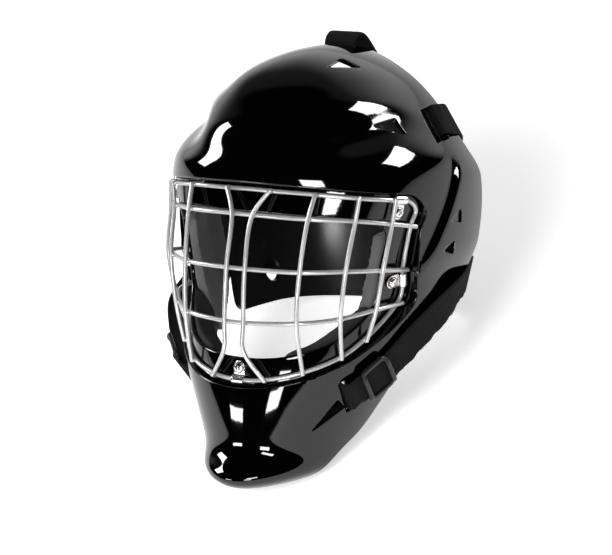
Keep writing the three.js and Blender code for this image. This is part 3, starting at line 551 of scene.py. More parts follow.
def liftedRings(loop, grow, skin):  # ring stack of a cut whose rim is rounded where it meets the skin
    lip, fillet, front, above = shellMake["lip"], shellMake["fillet"], -shellMake["flangeFront"], 40.0
    lift = np.full(len(loop.line), front)
    for k, (spot, way) in enumerate(zip(loop.ring(grow, above), -loop.outward)):
        hit = skin.ray_cast(Vector(spot), Vector(way))
        if hit[0] is not None:
            lift[k] = above - hit[3]
    lift = np.maximum(lift, front + 0.3)
    for smoothing in range(6):
        lift = (np.roll(lift, 1) + 2 * lift + np.roll(lift, -1)) / 4
    room = np.minimum((lift - front) / (lip + fillet), 1.0)
    lip, fillet = lip * room, fillet * room
    wide = grow + flare["aside"] * lip
    rings = [loop.ring(wide, lift + rise) for rise in (shellMake["cutOut"], flare["up"] * lip)]
    for angle in np.radians([90, 68, 45, 22, 0]):
        rings.append(loop.ring(grow + lip * (1 - math.cos(angle)), lift - lip + lip * math.sin(angle)))
    for angle in np.radians([0, 22, 45, 68, 90]):
        rings.append(loop.ring(grow - fillet * (1 - math.cos(angle)), front + fillet * (1 - math.sin(angle))))
    return rings + [loop.ring(grow - fillet - 3.0, rise) for rise in (front - 3.0, shellMake["cutIn"])]


def openingRings():  # ring stack of the face opening, both of its edges rounded
    ring, rim, front = openingLoop.ring, shellMake["edgeRound"], -shellMake["flangeFront"]
    back = front - shellMake["flangeWall"]
    rings = [ring(rim + 2.0, shellMake["cutOut"]), ring(rim + 1.2, front + 1.6)]
    for angle in np.radians([90, 60, 30, 0]):
        rings.append(ring(rim * (1 - math.cos(angle)), front - rim + rim * math.sin(angle)))
    for angle in np.radians([0, 30, 60, 90]):
        rings.append(ring(rim * (1 - math.cos(angle)), back + rim - rim * math.sin(angle)))
    return rings + [ring(rim + 1.2, back - 1.6), ring(rim + 2.0, shellMake["cutIn"])]


def roundedOutline(corners, radius, steps=6):  # a flat polygon with its corners rounded
    corners = np.asarray(corners, float)
    count, spots = len(corners), []
    for k in range(count):
        here = corners[k]
        toBack, toNext = unit(corners[k - 1] - here), unit(corners[(k + 1) % count] - here)
        half = math.acos(np.clip(np.dot(toBack, toNext), -1, 1)) / 2
        if half > 1.55:  # no corner here
            spots.append(here)
            continue
        reach = min(radius / math.tan(half), 0.45 * np.linalg.norm(corners[k - 1] - here),
                    0.45 * np.linalg.norm(corners[(k + 1) % count] - here))
        bow = reach * math.tan(half)
        centre = here + unit(toBack + toNext) * (bow / math.sin(half))
        first, second = here + toBack * reach - centre, here + toNext * reach - centre
        sweep = math.pi - 2 * half
        for t in np.linspace(0, 1, steps):
            blend = first * math.sin((1 - t) * sweep) + second * math.sin(t * sweep)
            spots.append(centre + blend / math.sin(sweep))
    return np.array(spots)


def filledOutline(outline, step):  # the same closed outline with points close together
    return spaced(outline, max(int(lineLength(np.concatenate([outline, outline[:1]])) / step), 12), True)


def rimmedCut(outline, outward, skin, lip, depth):  # a cut through the wall whose rim is rounded over
    outline, outward = np.asarray(outline, float), unit(outward)
    aside = unit(np.cross(tangents(outline, True), outward))
    if np.mean(np.einsum("ij,ij->i", aside, outline - outline.mean(axis=0))) < 0:
        aside = -aside
    lift = np.zeros(len(outline))
    for k, spot in enumerate(outline):
        hit = skin.ray_cast(Vector(spot + outward * ventMake["probe"]), Vector(-outward))
        lift[k] = ventMake["probe"] - hit[3] if hit[0] is not None else 0.0
    floor = np.minimum(-np.asarray(depth, float), lift - lip - 0.1)
    rise = lambda height: outward * np.reshape(height, (-1, 1))
    wide = outline + aside * flare["aside"] * lip
    rings = [wide + rise(lift + ventMake["cutOut"]), wide + rise(lift + flare["up"] * lip)]
    for angle in np.radians([90, 60, 30, 0]):
        rings.append(outline + aside * lip * (1 - math.cos(angle)) + rise(lift - lip + lip * math.sin(angle)))
    rings.append(outline + rise(floor))
    return draft(*loft(rings))


def slopingDepth(corners, depths, outline):  # depth under each point of a flat floor given at three corners
    sides = np.stack([corners[1] - corners[0], corners[2] - corners[0]], axis=1)
    first, second = np.linalg.lstsq(sides, (outline - corners[0]).T, rcond=None)[0]
    return depths[0] + (depths[1] - depths[0]) * first + (depths[2] - depths[0]) * second


ventCorners = {
    "crown": [(28.4, 56.9, 145.1), (39.7, 88.3, 142.9), (25.5, 82.6, 149.8)],
    "temple": [(68.4, 52.9, 106), (84.2, 75.4, 98.2), (74.6, 76.2, 109.5)],
    "earUpper": [(109.5, 91, 38), (114, 104, 35.5), (114, 103, 46)],
    "earLower": [(107.5, 84.5, 17), (112, 97, 13.5), (112, 96.5, 24)],
    "jaw": [(47, 9.2, -107.4), (64, 28, -91), (62, 21.5, -84.5)],
    "upperStrap": [(76.9, 107.1, 113.2), (95, 100.7, 91.3), (93.1, 120.6, 93), (74.3, 129.4, 114.9)],
    "lowerStrap": [(65, 18, -72.8), (62.8, 31.3, -95.2), (65.7, 35.3, -93.1), (67.9, 22, -70.7)],
}
ventDepths = {"crown": (0.5, 6, 6), "temple": (0.4, 4, 4), "earUpper": (0.4, 4.2, 4.2),
              "earLower": (0.4, 4.2, 4.2), "jaw": (0.3, 0.3, 3), "upperStrap": (0.6, 0.6, 4.6),
              "lowerStrap": (0.8, 0.8, 7)}
ventMake = {"cornerRound": 1.2, "jawCornerRound": 0.3, "lip": 0.6, "probe": 25, "cutOut": 14}
topSlot = {"x": 15.0, "front": 119.0, "back": 124.0, "level": 153.0, "cornerRound": 1.8, "lip": 0.9,
           "depth": 8.0}
coatMake = {"insideWithin": 0.25, "insideFacing": 0.9, "floorFacing": 0.6, "floorBelow": 0.12,
            "floorAbove": 0.3}


def ventOutward(corners):
    outward = unit(np.cross(corners[1] - corners[0], corners[2] - corners[0]))
    return outward * (1 if outward[0] > 0 else -1)


def cutVents(shell, skin):
    for vent, corners in ventCorners.items():
        corners = np.array(corners, float)
        outward = ventOutward(corners)
        cornerRound = ventMake["jawCornerRound" if vent == "jaw" else "cornerRound"]
        outline = filledOutline(roundedOutline(corners, cornerRound), 0.7)
        depth = slopingDepth(corners, ventDepths[vent], outline)
        for flip in (1, mirrored):
            combine(shell, rimmedCut(outline * flip, outward * flip, skin, ventMake["lip"], depth))
    ends = {-1: topSlot["front"], 1: topSlot["back"]}
    corners = [(s * topSlot["x"], ends[t], topSlot["level"]) for s, t in squareCorners]
    outline = filledOutline(roundedOutline(corners, topSlot["cornerRound"]), 0.9)
    combine(shell, rimmedCut(outline, (0, 0, 1), skin, topSlot["lip"], topSlot["depth"]))


def onVentFloor(face, vent, skin):  # whether a face lies in a vent, below the skin and facing out
    corners = np.array(ventCorners[vent], float) * (1 if face.center.x > 0 else mirrored)
    middle = corners.mean(axis=0)
    reach = np.linalg.norm(corners - middle, axis=1).max()
    facing = abs(face.normal.dot(Vector(ventOutward(corners))))
    if (face.center - Vector(middle)).length > reach or facing < coatMake["floorFacing"]:
        return False
    below = skin.find_nearest(face.center)[3]
    return coatMake["floorBelow"] < below < shellMake["wall"] - coatMake["floorAbove"]


def coatByPlace(shell, inside, skin):  # gloss outside, plain inside, and painted shade on the floors of the jaw vents: a flat black for the dark of the slots
    coats = np.zeros(len(shell.data.polygons), dtype=np.int32)
    for k, face in enumerate(shell.data.polygons):
        near = inside.find_nearest(face.center, coatMake["insideWithin"])
        coats[k] = near[0] is not None and abs(near[1].dot(face.normal)) > coatMake["insideFacing"]
        # the jaw vents' floors take the painted shade
        if onVentFloor(face, "jaw", skin):
            coats[k] = 2
    return coats


def moulded():
    angles = ringAngles(shellMake["frontSpan"], shellMake["around"], 24)
    insideAngles = ringAngles(shellMake["frontSpan"], shellMake["insideAround"], 16)
    skinPoints, skinFaces = loft(levelGrid(shellLevels, shellMake["rows"], angles, 0.0, shellRelief))
    shell = draft(skinPoints, skinFaces, "shell")
    skin = BVHTree.FromPolygons([Vector(p) for p in skinPoints], skinFaces)
    insideGrid = levelGrid(shellLevels, shellMake["insideRows"], insideAngles, shellMake["wall"], shellRelief)
    cavity = draft(*loft(insideGrid))
    grown = shellMake["recessMargin"] + shellMake["flangeWall"]
    collar = [frameLoop.ring(grown, shellMake[end]) for end in ("cutOut", "cutIn")]
    collar = draft(*loft(collar, caps=faceCaps))
    combine(collar, framedSolid(shellMake["flangeFront"] + shellMake["flangeWall"]))
    combine(cavity, collar)
    insidePoints = [v.co.copy() for v in cavity.data.vertices]
    inside = BVHTree.FromPolygons(insidePoints, [tuple(p.vertices) for p in cavity.data.polygons])
    combine(shell, cavity)
    recess = draft(*loft(liftedRings(frameLoop, shellMake["recessMargin"], skin), caps=faceCaps))
    combine(recess, framedSolid(shellMake["flangeFront"]))
    combine(shell, recess)
    combine(shell, draft(*loft(openingRings(), caps=faceCaps)))
    edge = spaced(smoothLine(shellEdge, dense=30), 160)
    combine(shell, sideSlab(np.concatenate([edge, [(320, 170), (320, -165)]])))
    cutVents(shell, skin)
    combine(shell, floorSlab())
    coats = coatByPlace(shell, inside, skin)
    materials = [finishes[name] for name in ("gloss", "inside", "paintedVentShade")]
    finishPiece(shell, "shell_moulding", "shell", materials, ["shell"], 32.0)
    shell.data.polygons.foreach_set("material_index", coats)
    return shell


shell = moulded()
print("shell moulded:", len(shell.data.polygons), "faces")

# wire cage

cageMake = {"radius": 1.6, "sides": 14, "weldSpacing": 2.9, "barOvershoot": 2.8, "endOvershoot": 1.2,
            "step": 1.2, "endChamfer": 0.35, "beadRadius": 2.1, "beadHeight": 1.5}
crossings = columns("level upright x y z", [
    [1, 1, 8.7, -3.1, 45.5], [1, 2, 49.6, 3.7, 44.7], [1, 3, 75.1, 22.4, 43.2], [1, 4, 92, 41.8, 40.2],
    [2, 1, 7.7, -11.7, 8.2], [2, 2, 47.4, -4.2, 8.1], [2, 3, 72.3, 14, 8.5], [2, 4, 89.2, 34.3, 8],
    [3, 1, 7.9, -14.2, -29.7], [3, 2, 45.8, -6.3, -27.8], [3, 3, 68, 14, -25.4], [3, 4, 83.1, 34.7, -20.9],
    [3.5, 1, 8.1, -14.4, -49.3],
])


def rowsWhere(rows, **wanted):
    keep = np.all([np.isclose(rows[name], value) for name, value in wanted.items()], axis=0)
    return {name: column[keep] for name, column in rows.items()}


def spotsOf(rows):
    return np.stack([rows["x"], rows["y"], rows["z"]], axis=1)


def raisedOff(points, amount):
    return points + faceOutward(points) * amount


def carriedOn(points, length):
    return np.concatenate([points, [points[-1] + unit(points[-1] - points[-2]) * length]])


def sweep(line, section, closed=False, aside=None, chamfer=0.0):  # a flat section carried along a line
    along = tangents(line, closed)
    if aside is None:  # the frame turns as little as it can
        start = unit(np.cross(along[0], (0.31, 0.87, 0.38)))
        aside = [start]
        for way in along[1:]:
            aside.append(unit(aside[-1] - way * np.dot(aside[-1], way)))
        aside = np.array(aside)
        if closed:
            gap = aside[-1] - along[0] * np.dot(aside[-1], along[0])
            twist = math.atan2(np.dot(np.cross(gap, aside[0]), along[0]), np.dot(gap, aside[0]))
            turn = np.linspace(0, twist, len(line))[:, None]
            aside = aside * np.cos(turn) + np.cross(along, aside) * np.sin(turn)
    other = np.cross(along, aside)
    section = np.asarray(section, float)
    rings = line[:, None] + aside[:, None] * section[None, :, :1] + other[:, None] * section[None, :, 1:]
    if closed:
        points, faces = loft(np.concatenate([rings, rings[:1]]), closedEnds=False)
        count, size = len(line), section.shape[0]
        faces = [tuple(corner % (count * size) for corner in face) for face in faces]
        points = points[:count * size]
        return points, outwardFaces(points, faces)
    if chamfer:
        first, last = line[:1, None], line[-1:, None]
        ends = [first + 0.78 * (rings[:1] - first), last + 0.78 * (rings[-1:] - last)]
        rings[0] += along[0] * chamfer
        rings[-1] -= along[-1] * chamfer
        rings = np.concatenate([ends[0], rings, ends[1]])
    return loft(rings)


def roundSection(radius, sides):
    turn = np.linspace(0, 2 * math.pi, sides, endpoint=False)
    return np.stack([radius * np.cos(turn), radius * np.sin(turn)], axis=1)


def wire(points):
    line = smoothLine(points)
    line = spaced(line, max(int(lineLength(line) / cageMake["step"]), 8))
    return sweep(line, roundSection(cageMake["radius"], cageMake["sides"]), chamfer=cageMake["endChamfer"])


def weldBead(spot, outward, first):  # the small nugget where two wires are welded
    height = cageMake["beadHeight"]
    spokes = roundSection(cageMake["beadRadius"], 12) @ np.array([first, np.cross(outward, first)])
    rings = [spot + outward * height * math.sin(lean) + spokes * math.cos(lean)
             for lean in np.radians([-60, -30, 0, 30, 60])]
    return loft(rings, caps=(spot - outward * (height + 0.1), spot + outward * (height + 0.1)))


def welded():
    parts = [sweep(frameLoop.line, roundSection(cageMake["radius"], cageMake["sides"]), closed=True)]
    for level in (1, 2, 3):
        half = spotsOf(rowsWhere(crossings, level=level))
        side = rowsWhere(frameStations, level=level, upright=5)
        last = raisedOff(framePoints(side["x"], side["z"]), cageMake["weldSpacing"])
        right = carriedOn(np.concatenate([half, last]), cageMake["barOvershoot"])
        parts.append(wire(np.concatenate([(right * mirrored)[::-1], right])))
    for upright in (1, 2, 3, 4):
        ends = rowsWhere(frameStations, upright=upright)
        ends = framePoints(ends["x"], ends["z"])
        between = spotsOf(rowsWhere(crossings, upright=upright))
        line = raisedOff(np.concatenate([ends[:1], between, ends[1:]]), cageMake["weldSpacing"])
        line = carriedOn(carriedOn(line, cageMake["endOvershoot"])[::-1], cageMake["endOvershoot"])
        made = wire(line)
        parts += [made, mirroredParts(*made)]
        welds = np.concatenate([ends, between[:3]])
        for spot, outward in zip(welds, faceOutward(welds)):
            middle = spot + outward * cageMake["weldSpacing"] / 2
            bead = weldBead(middle, outward, unit(np.cross(outward, (0, 0, 1))))
            parts += [bead, mirroredParts(*bead)]
    return finishPiece(draft(*joinDrafts(parts)), "wire_cage", "cage", [finishes["wire"]], ["cage"])


cage = welded()
print("cage welded:", len(cage.data.polygons), "faces")

# clips and screws

clipMake = {"width": 9.4, "metal": 1.0, "room": 0.85, "reach": 8.8, "tail": 5.2, "wrap": 200,
            "tipShare": 0.28, "edgeRound": 0.28}
screwMake = {"headRadius": 4.0, "shankRadius": 2.0, "length": 4.8, "headHeight": 2.7, "headEdge": 0.9,
             "seat": 0.3, "crossWidth": 1.15, "crossLength": 4.6, "crossTurn": 28,
             "crossTaper": ((1.1, 0.55), (4.0, 1.15))}
clipPlaces = {"top_right": (1, 95.8, 55.8), "top_left": (-1, 95.8, 55.8), "mid_right": (1, 89.2, -1.7),
              "mid_left": (-1, 89.2, -1.7), "bottom": (1, 0, -71.6)}
tabFoot = 0.45 - shellMake["flangeFront"]
fineLoop = FaceLoop(frameStations, 800)


def clipFrame(side, x, z):
    wanted = framePoints(np.array([side * x]), np.array([z]))[0]
    near = int(np.argmin(np.linalg.norm(fineLoop.line - wanted, axis=1)))
    spot, along = fineLoop.line[near], fineLoop.along[near]
    aside = np.cross(along, fineLoop.outward[near])
    outward = faceOutward((spot + aside * clipMake["reach"] / 2)[None])[0]
    outward = unit(outward - along * np.dot(outward, along))
    return spot, along, outward, np.cross(along, outward)


def clipSheet(spot, along, outward, inward):
    inner = cageMake["radius"] + clipMake["room"]
    middle, flat = inner + clipMake["metal"] / 2, tabFoot + clipMake["metal"] / 2
    start, finish = math.radians(clipMake["wrap"]), math.asin(flat / middle)
    profile = [(middle * math.cos(t), middle * math.sin(t)) for t in np.linspace(start, finish, 18)]
    profile += [(t, flat) for t in np.linspace(middle + 0.6, clipMake["reach"] + clipMake["tail"], 16)]
    half, rounding = clipMake["width"] / 2, clipMake["tail"]
    rings, size = [], 9
    for reach, rise in profile:
        past = max(reach - clipMake["reach"], 0) / rounding
        share = max(math.sqrt(max(1 - past ** 2, 0)), clipMake["tipShare"])
        fold = spot + inward * reach + outward * rise
        rings.append([fold + along * half * share * s for s in np.linspace(-1, 1, size)])
    rings = np.array(rings)
    points = rings.reshape(-1, 3)
    faces = [(i * size + j, i * size + j + 1, (i + 1) * size + j + 1, (i + 1) * size + j)
             for i in range(len(rings) - 1) for j in range(size - 1)]
    sheet = draft(points, faces)
    thick = sheet.modifiers.new("metal", "SOLIDIFY")
    thick.thickness, thick.offset = clipMake["metal"], 0.0
    rounded = sheet.modifiers.new("rounded", "BEVEL")
    rounded.width, rounded.segments = clipMake["edgeRound"], 2
    rounded.limit_method, rounded.angle_limit = "ANGLE", math.radians(50)
    return settle(sheet)


def panScrew(spot, along, outward, inward):
    head, shank = screwMake["headRadius"], screwMake["shankRadius"]
    edge, dome = screwMake["headEdge"], screwMake["headHeight"] - screwMake["headEdge"]
    profile = [(shank, -screwMake["length"]), (shank, 0.0), (head - 0.15, 0.0), (head, 0.2), (head, edge)]
    profile += [(head * math.cos(t), edge + dome * math.sin(t)) for t in np.radians([20, 40, 58, 72, 83])]
    centre = spot + inward * clipMake["reach"] + outward * (tabFoot + clipMake["metal"] + screwMake["seat"])
    turns = np.linspace(0, 2 * math.pi, 36, endpoint=False)
    spokes = [along * math.cos(t) + inward * math.sin(t) for t in turns]
    rings = [[centre + outward * height + spoke * radius for spoke in spokes] for radius, height in profile]
    caps = (centre - outward * screwMake["length"], centre + outward * screwMake["headHeight"])
    screw = draft(*loft(rings, caps=caps))
    turned = math.radians(screwMake["crossTurn"])
    first = along * math.cos(turned) + inward * math.sin(turned)
    for way in (first, np.cross(outward, first)):
        aside = np.cross(outward, way)
        a, b = screwMake["crossLength"] / 2, screwMake["crossWidth"] / 2
        rings = [[centre + outward * height + way * s * a * share + aside * t * b * share
                  for s, t in squareCorners] for height, share in screwMake["crossTaper"]]
        combine(screw, draft(*loft(rings)))
    return screw


for name, place in clipPlaces.items():
    stand = clipFrame(*place)
    finishPiece(clipSheet(*stand), "cage_clip_" + name, "clip", [finishes["plated"]], ["clip_" + name], 35.0)
    finishPiece(panScrew(*stand), "pan_screw_" + name, "screw", [finishes["plated"]], ["screw_" + name], 35.0)
print("clips and screws fitted:", len(clipPlaces))

# rear cup

cupMake = {"wall": 3.0, "rows": 90, "around": 200, "cornerRound": 9.0, "ventY": 151, "ventZ": -21,
           "ventRadius": 9}
cupLevels = columns("z front half widest back square", [
    [-80, -20, 58, 147, 197, 2], [-60, -20, 68, 147, 202, 2], [-35, -20, 79, 147, 206, 2.1],
    [-8, -20, 87, 147, 210, 2.2], [22, -20, 90, 147, 212, 2.2], [50, -20, 88, 147, 210, 2.2],
    [74, -10, 79, 147, 203, 2.1], [92, 10, 66, 147, 192, 2], [106, 60, 47, 147, 177, 2],
    [114, 110, 22, 147, 162, 2], [116, 146, 1, 147, 148, 2],
])
cupEdge = [(103, 94), (103, 8), (94, -28), (90, -44), (300, -44), (300, 94)]


def cupped():
    angles = np.linspace(-math.pi, math.pi, cupMake["around"], endpoint=False)
    cup = draft(*loft(levelGrid(cupLevels, cupMake["rows"], angles)), "cup")
    combine(cup, draft(*loft(levelGrid(cupLevels, cupMake["rows"], angles, cupMake["wall"]))))
    flat = np.array([(0.0, y, z) for y, z in cupEdge])
    outline = roundedOutline(flat, cupMake["cornerRound"])[:, 1:]
    combine(cup, sideSlab(outline), "INTERSECT")
    combine(cup, sideSlab(roundSection(cupMake["ventRadius"], 40) + (cupMake["ventY"], cupMake["ventZ"])))
    combine(cup, floorSlab())
    return finishPiece(cup, "rear_cup", "backplate", [finishes["cup"]], ["backplate"], 32.0)


cup = cupped()
print("rear cup made:", len(cup.data.polygons), "faces")

# elastic straps

strapMake = {"width": 26.0, "thickness": 2.0, "ribPitch": 1.9, "ribHeight": 0.13, "step": 0.475,
             "landingRise": 1.6, "slackEdge": 0.9, "slackWaves": (3.1, 1.7)}
# each row: the middle x y z, the way across x y z, and how much further out the left strap stands
strapRows = {
    "top": [(0, 121.5, 150, 1, 0, 0, 0), (0, 122, 158.5, 1, 0, 0, 0), (0, 127.5, 163.5, 1, 0, 0, 0),
            (0, 136, 162, 1, 0, 0, 0), (0, 146, 154, 1, 0, 0, 0), (0, 161, 139, 1, 0, 0, 0),
            (0, 178, 120, 1, 0, 0, 0)],
    "upper": [(75.2, 118.1, 101.3, 0.62, -0.29, -0.725, 0), (79.7, 121, 103.9, 0.62, -0.29, -0.725, 0),
              (82.8, 123, 105.7, 0.62, -0.28, -0.73, 0), (84.7, 127.5, 105.5, 0.62, -0.24, -0.74, 0),
              (84.2, 133, 105, 0.62, -0.2, -0.75, 0), (83.5, 139.3, 104.4, 0.6, -0.12, -0.78, 0),
              (78.6, 151.5, 100.6, 0.52, 0.08, -0.84, 0)],
    "lower": [(57.5, 29.1, -81.6, -0.24, 0.58, -0.78, 0), (69, 27.8, -82.5, -0.22, 0.58, -0.78, 1),
              (73.8, 35, -77.5, -0.2, 0.58, -0.78, 4), (79, 43.5, -71.8, -0.19, 0.58, -0.79, 8),
              (87, 56.5, -60, -0.17, 0.54, -0.82, 14), (96, 71, -44.5, -0.14, 0.48, -0.87, 15),
              (104, 93, -27.5, -0.2, 0.4, -0.9, 6), (106.5, 112, -16, -0.34, 0.15, -0.92, 1),
              (102, 127, -13, -0.3, 0, -0.95, 0), (96, 141, -12.5, -0.25, 0, -0.97, 0)],
}
# height and turn round the cup, in degrees, where each strap lies down on it
landings = {"top": [(88, 180), (74, 180)], "upper": [(84, 128), (78, 143)], "lower": [(-12, 106), (-14, 122)]}


def cupLanding(z, degrees):
    level, turn = levelAt(cupLevels, float(z)), math.radians(degrees)
    spot = sectionPoints(level, turn)
    above = unit(sectionPoints(levelAt(cupLevels, z + 1.0), turn) - spot)
    outward = unit(np.cross(sectionPoints(level, turn + 0.01) - spot, above))
    return spot + outward * strapMake["landingRise"], above


def strapLine(kind, side):
    rows = np.array(strapRows[kind], float)
    centres, widths = rows[:, :3].copy(), rows[:, 3:6].copy()
    centres[:, 0] += rows[:, 6] * (side < 0)
    for z, degrees in landings[kind]:
        spot, above = cupLanding(z, degrees)
        centres = np.concatenate([centres, [spot]])
        widths = np.concatenate([widths, [(1, 0, 0) if kind == "top" else -above]])
    flip = np.array([side, 1, 1])
    return smoothLine(centres * flip), smoothLine(widths * flip)


def strapFrames(kind, side, step):
    centre, width = strapLine(kind, side)
    reach = np.concatenate([[0], np.cumsum(np.linalg.norm(np.diff(centre, axis=0), axis=1))])
    places = np.linspace(0, reach[-1], int(reach[-1] / step) + 1)
    pick = lambda values: np.stack([np.interp(places, reach, values[:, k]) for k in range(3)], axis=1)
    middle, across = pick(centre), pick(width)
    along = tangents(middle)
    across = unit(across - along * np.einsum("ij,ij->i", across, along)[:, None])
    return places, middle, along, across, np.cross(along, across)


def strapSection():  # across and through, round at the edges
    half, thin = strapMake["width"] / 2, strapMake["thickness"] / 2
    flat = np.linspace(-half + thin, half - thin, 13)
    curve = np.radians([-60, -30, 0, 30, 60])
    right = [(half - thin + thin * math.cos(t), thin * math.sin(t)) for t in curve]
    left = [(-half + thin - thin * math.cos(t), -thin * math.sin(t)) for t in curve]
    return np.array([(s, -thin) for s in flat] + right + [(s, thin) for s in flat[::-1]] + left)


def webbing(kind, side, name, nodes, slackEdge=0.0):
    places, middle, along, across, face = strapFrames(kind, side, strapMake["step"])
    section = strapSection()
    rib = 1 + strapMake["ribHeight"] * np.cos(places * 2 * math.pi / strapMake["ribPitch"])
    long, short = strapMake["slackWaves"]
    sway = np.sin(places / long) * 0.6 + np.sin(places / short + 1.0) * 0.4
    sway = slackEdge * sway * smoothStep(4, 20, places)
    edge = np.clip(section[:, 0] / (strapMake["width"] / 2), 0, 1) ** 2
    out = section[None, :, 0] + sway[:, None] * edge[None, :]
    through = section[None, :, 1] * rib[:, None]
    rings = middle[:, None] + across[:, None] * out[..., None] + face[:, None] * through[..., None]
    points, faces = loft(rings)
    strap = draft(points, faces)
    lay = strap.data.uv_layers.new(name="lay")
    count = len(section)
    flat = np.zeros((len(points), 2))
    flat[:len(places) * count, 0] = np.repeat(places, count) * mm
    flat[:len(places) * count, 1] = np.tile(section[:, 0], len(places)) * mm
    corners = np.empty(len(strap.data.loops), dtype=np.int64)
    strap.data.loops.foreach_get("vertex_index", corners)
    lay.data.foreach_set("uv", flat[corners].ravel())
    finishPiece(strap, name, "strap", [finishes["webbing"]], nodes, 60.0)


webbing("top", 1, "webbing_top", ["strap_top"])
for side, word in ((1, "right"), (-1, "left")):
    webbing("upper", side, "webbing_upper_" + word, ["strap_upper_" + word])
    webbing("lower", side, "webbing_lower_" + word, ["strap_lower_" + word], strapMake["slackEdge"])
print("straps threaded")

# strap sliders

sliderMake = {"place": 0.285, "length": 25.0, "bar": 3.5, "height": 3.0, "cornerRound": 4.0,
              "railDrop": 2.4, "railStart": 0.72, "room": 0.6, "boxiness": 0.6}


def slider(side, name, node):
    centre, width = strapLine("lower", side)
    spot = int(round(sliderMake["place"] * (len(centre) - 1)))
    along = unit(centre[spot + 1] - centre[spot - 1])
    across = unit(width[spot] - along * np.dot(width[spot], along))
    outward = np.cross(along, across)
    outward = outward * (1 if outward[0] * side > 0 else -1)
    rise = strapMake["thickness"] / 2 + sliderMake["room"] + sliderMake["height"] / 2
    middle = centre[spot] + outward * rise
    a, b = (sliderMake["length"] - sliderMake["bar"]) / 2, (strapMake["width"] + sliderMake["bar"]) / 2
    corners = [middle + along * s * a + across * t * b for s, t in squareCorners]
    line = filledOutline(roundedOutline(corners, sliderMake["cornerRound"], 8), 1.2)
    drop = smoothStep(sliderMake["railStart"] * b, b, np.abs((line - middle) @ across))
    line = line - outward * (sliderMake["railDrop"] * drop)[:, None]
    circle, halves = roundSection(1.0, 16), np.array([sliderMake["bar"], sliderMake["height"]]) / 2
    section = np.sign(circle) * np.abs(circle) ** sliderMake["boxiness"] * halves
    aside = np.cross(np.tile(outward, (len(line), 1)), tangents(line, True))
    parts = sweep(line, section, closed=True, aside=aside)
    finishPiece(draft(*parts), name, "slider", [finishes["slider"]], [node])


slider(1, "strap_slider_right", "slider_right")
slider(-1, "strap_slider_left", "slider_left")
print("sliders fitted")

# foam pads: the solid's own form, its edges rounded over

padMake = {"voxel": 0.0016, "ease": 0.5, "smoothing": 14, "fill": 0.9}
# the jaw pads take the dark base foam as painted shade: they are grey foam like the liners, darkened for the
# shade they sit in
padKinds = {"cheek_base": ("base_foam", "base"), "cheek_liner": ("comfort_foam", "comfort"),
            "jaw_pad": ("jaw_foam", "base")}


def foamPad(node, name, slot, finish):
    pad = bpy.data.objects.new(name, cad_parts[node].data.copy())
    scene.collection.objects.link(pad)
    dense = pad.modifiers.new("dense", "REMESH")
    dense.mode, dense.voxel_size = "VOXEL", padMake["voxel"]
    ease = pad.modifiers.new("ease", "SMOOTH")
    ease.factor, ease.iterations = padMake["ease"], padMake["smoothing"]
    settle(pad)
    pad.data.shade_smooth()
    dress(pad, slot, [finish], [node])


for kind, (slot, finish) in padKinds.items():
    for word in ("right", "left"):
        foamPad(kind + "_" + word, kind.replace("_", "_foam_") + "_" + word, slot, finishes[finish])
print("pads cut")

# floor and light

stageMake = {"floorSize": 14.0, "floorTone": 0.9, "floorGlow": 0.6}


def paleFloor():
    half, tone = stageMake["floorSize"] / 2, stageMake["floorTone"]
    floor = draft([(s * half, t * half, 0) for s, t in squareCorners], [(0, 1, 2, 3)], "floor")
    material, spot, feed = newFinish("palePaper")
    feed(colour=spot.noise(3, 2).tint(grey(tone), grey(tone + 0.02)), rough=0.9, specular=0.1,
         glowColour=(1, 1, 1, 1), glow=stageMake["floorGlow"])  # lit from below, as on a light table
    floor.data.materials.append(material)


paleFloor()
wallMake = {"turn": -152, "lift": 20, "soft": (0.6, 0.74), "low": 1.05, "high": 0.12, "fall": 0.55,
            "gap": 0.004}


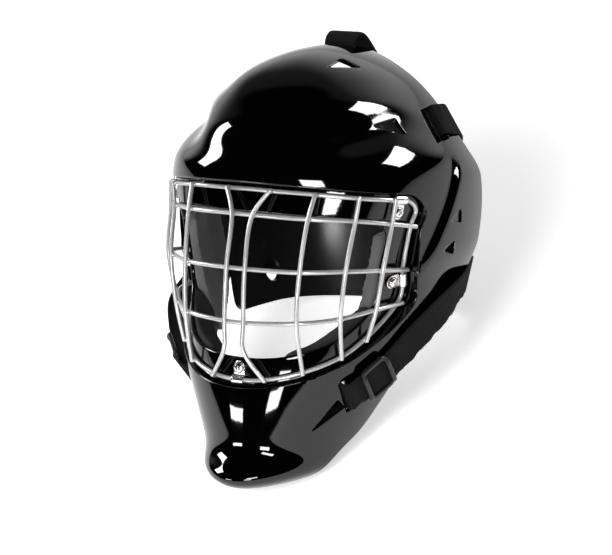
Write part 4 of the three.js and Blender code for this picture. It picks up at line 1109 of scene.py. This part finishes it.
def studioWalls():  # a pale wall behind that darkens upwards, dark above and in front
    world = bpy.data.worlds.new("studio")
    scene.world = world
    world.use_nodes = True
    shade = Shade(world.node_tree)
    way = shade.make("ShaderNodeTexCoord", out=0)
    behind = shade.make("ShaderNodeVectorMath", {"operation": "DOT_PRODUCT"},
                        {0: way, 1: outFrom(wallMake["turn"], wallMake["lift"])}, out=1)
    height = shade.make("ShaderNodeSeparateXYZ", None, {0: way}, out=2)
    eased = {"interpolation_type": "SMOOTHSTEP"}
    wall = shade.make("ShaderNodeMapRange", eased,
                      {"Value": behind, "From Min": wallMake["soft"][0], "From Max": wallMake["soft"][1]})
    level = shade.make("ShaderNodeMapRange", eased,
                       {"Value": height, "From Min": 0.0, "From Max": wallMake["fall"],
                        "To Min": wallMake["low"], "To Max": wallMake["high"]})
    tone = wall * (level - wallMake["gap"]) + wallMake["gap"]
    sky = world.node_tree.nodes["Background"]
    sky.inputs[0].default_value = (1, 1, 1, 1)
    world.node_tree.links.new(tone.socket, sky.inputs[1])


studioWalls()
lightAims = {"head": (0, 0, 0.13), "chin": (0, -0.149, 0.04)}
# what each light faces, its turn, height and roll in degrees, its distance, width and height in metres, glow
softBoxes = {
    "leftBox": ("head", -82, 28, 10, 2.4, 0.55, 0.9, 28.0),
    "rightBox": ("head", 139, 26, -14, 2.4, 1.2, 0.66, 26.0),
    "browBox": ("head", 25, 27, 0, 2.6, 0.85, 0.4, 26.0),
    "chinBoxRight": ("chin", 18, 14, -14, 0.5, 0.13, 0.075, 26.0),
    "chinBoxLeft": ("chin", -33, 12.5, 10, 0.5, 0.15, 0.042, 26.0),
}
fillBoxes = {
    "topBox": ("head", 0, 90, 0, 3.0, 4.0, 4.0, 0.6),
    "frontBox": ("head", 2, 40, 0, 2.6, 1.6, 1.6, 10.0),
}


def softBox(name, aim, turn, lift, roll, away, width, height, glow):
    lamp = bpy.data.lights.new(name, "AREA")
    lamp.shape, lamp.size, lamp.size_y = "RECTANGLE", width, height
    lamp.energy = glow * width * height * math.pi
    box = bpy.data.objects.new(name, lamp)
    back = outFrom(turn, lift)
    box.location = Vector(lightAims[aim]) + back * away
    box.rotation_mode = "QUATERNION"
    box.rotation_quaternion = Quaternion(back, math.radians(roll)) @ back.to_track_quat("Z", "Y")
    box.visible_camera = False
    scene.collection.objects.link(box)
    return box


for name, place in softBoxes.items():
    softBox(name, *place).visible_diffuse = False  # seen in the gloss only
for name, place in fillBoxes.items():
    softBox(name, *place).visible_glossy = False  # lights floor, foam and cloth without a glare on the gloss
scene.view_settings.view_transform = "Standard"
print("stage lit")
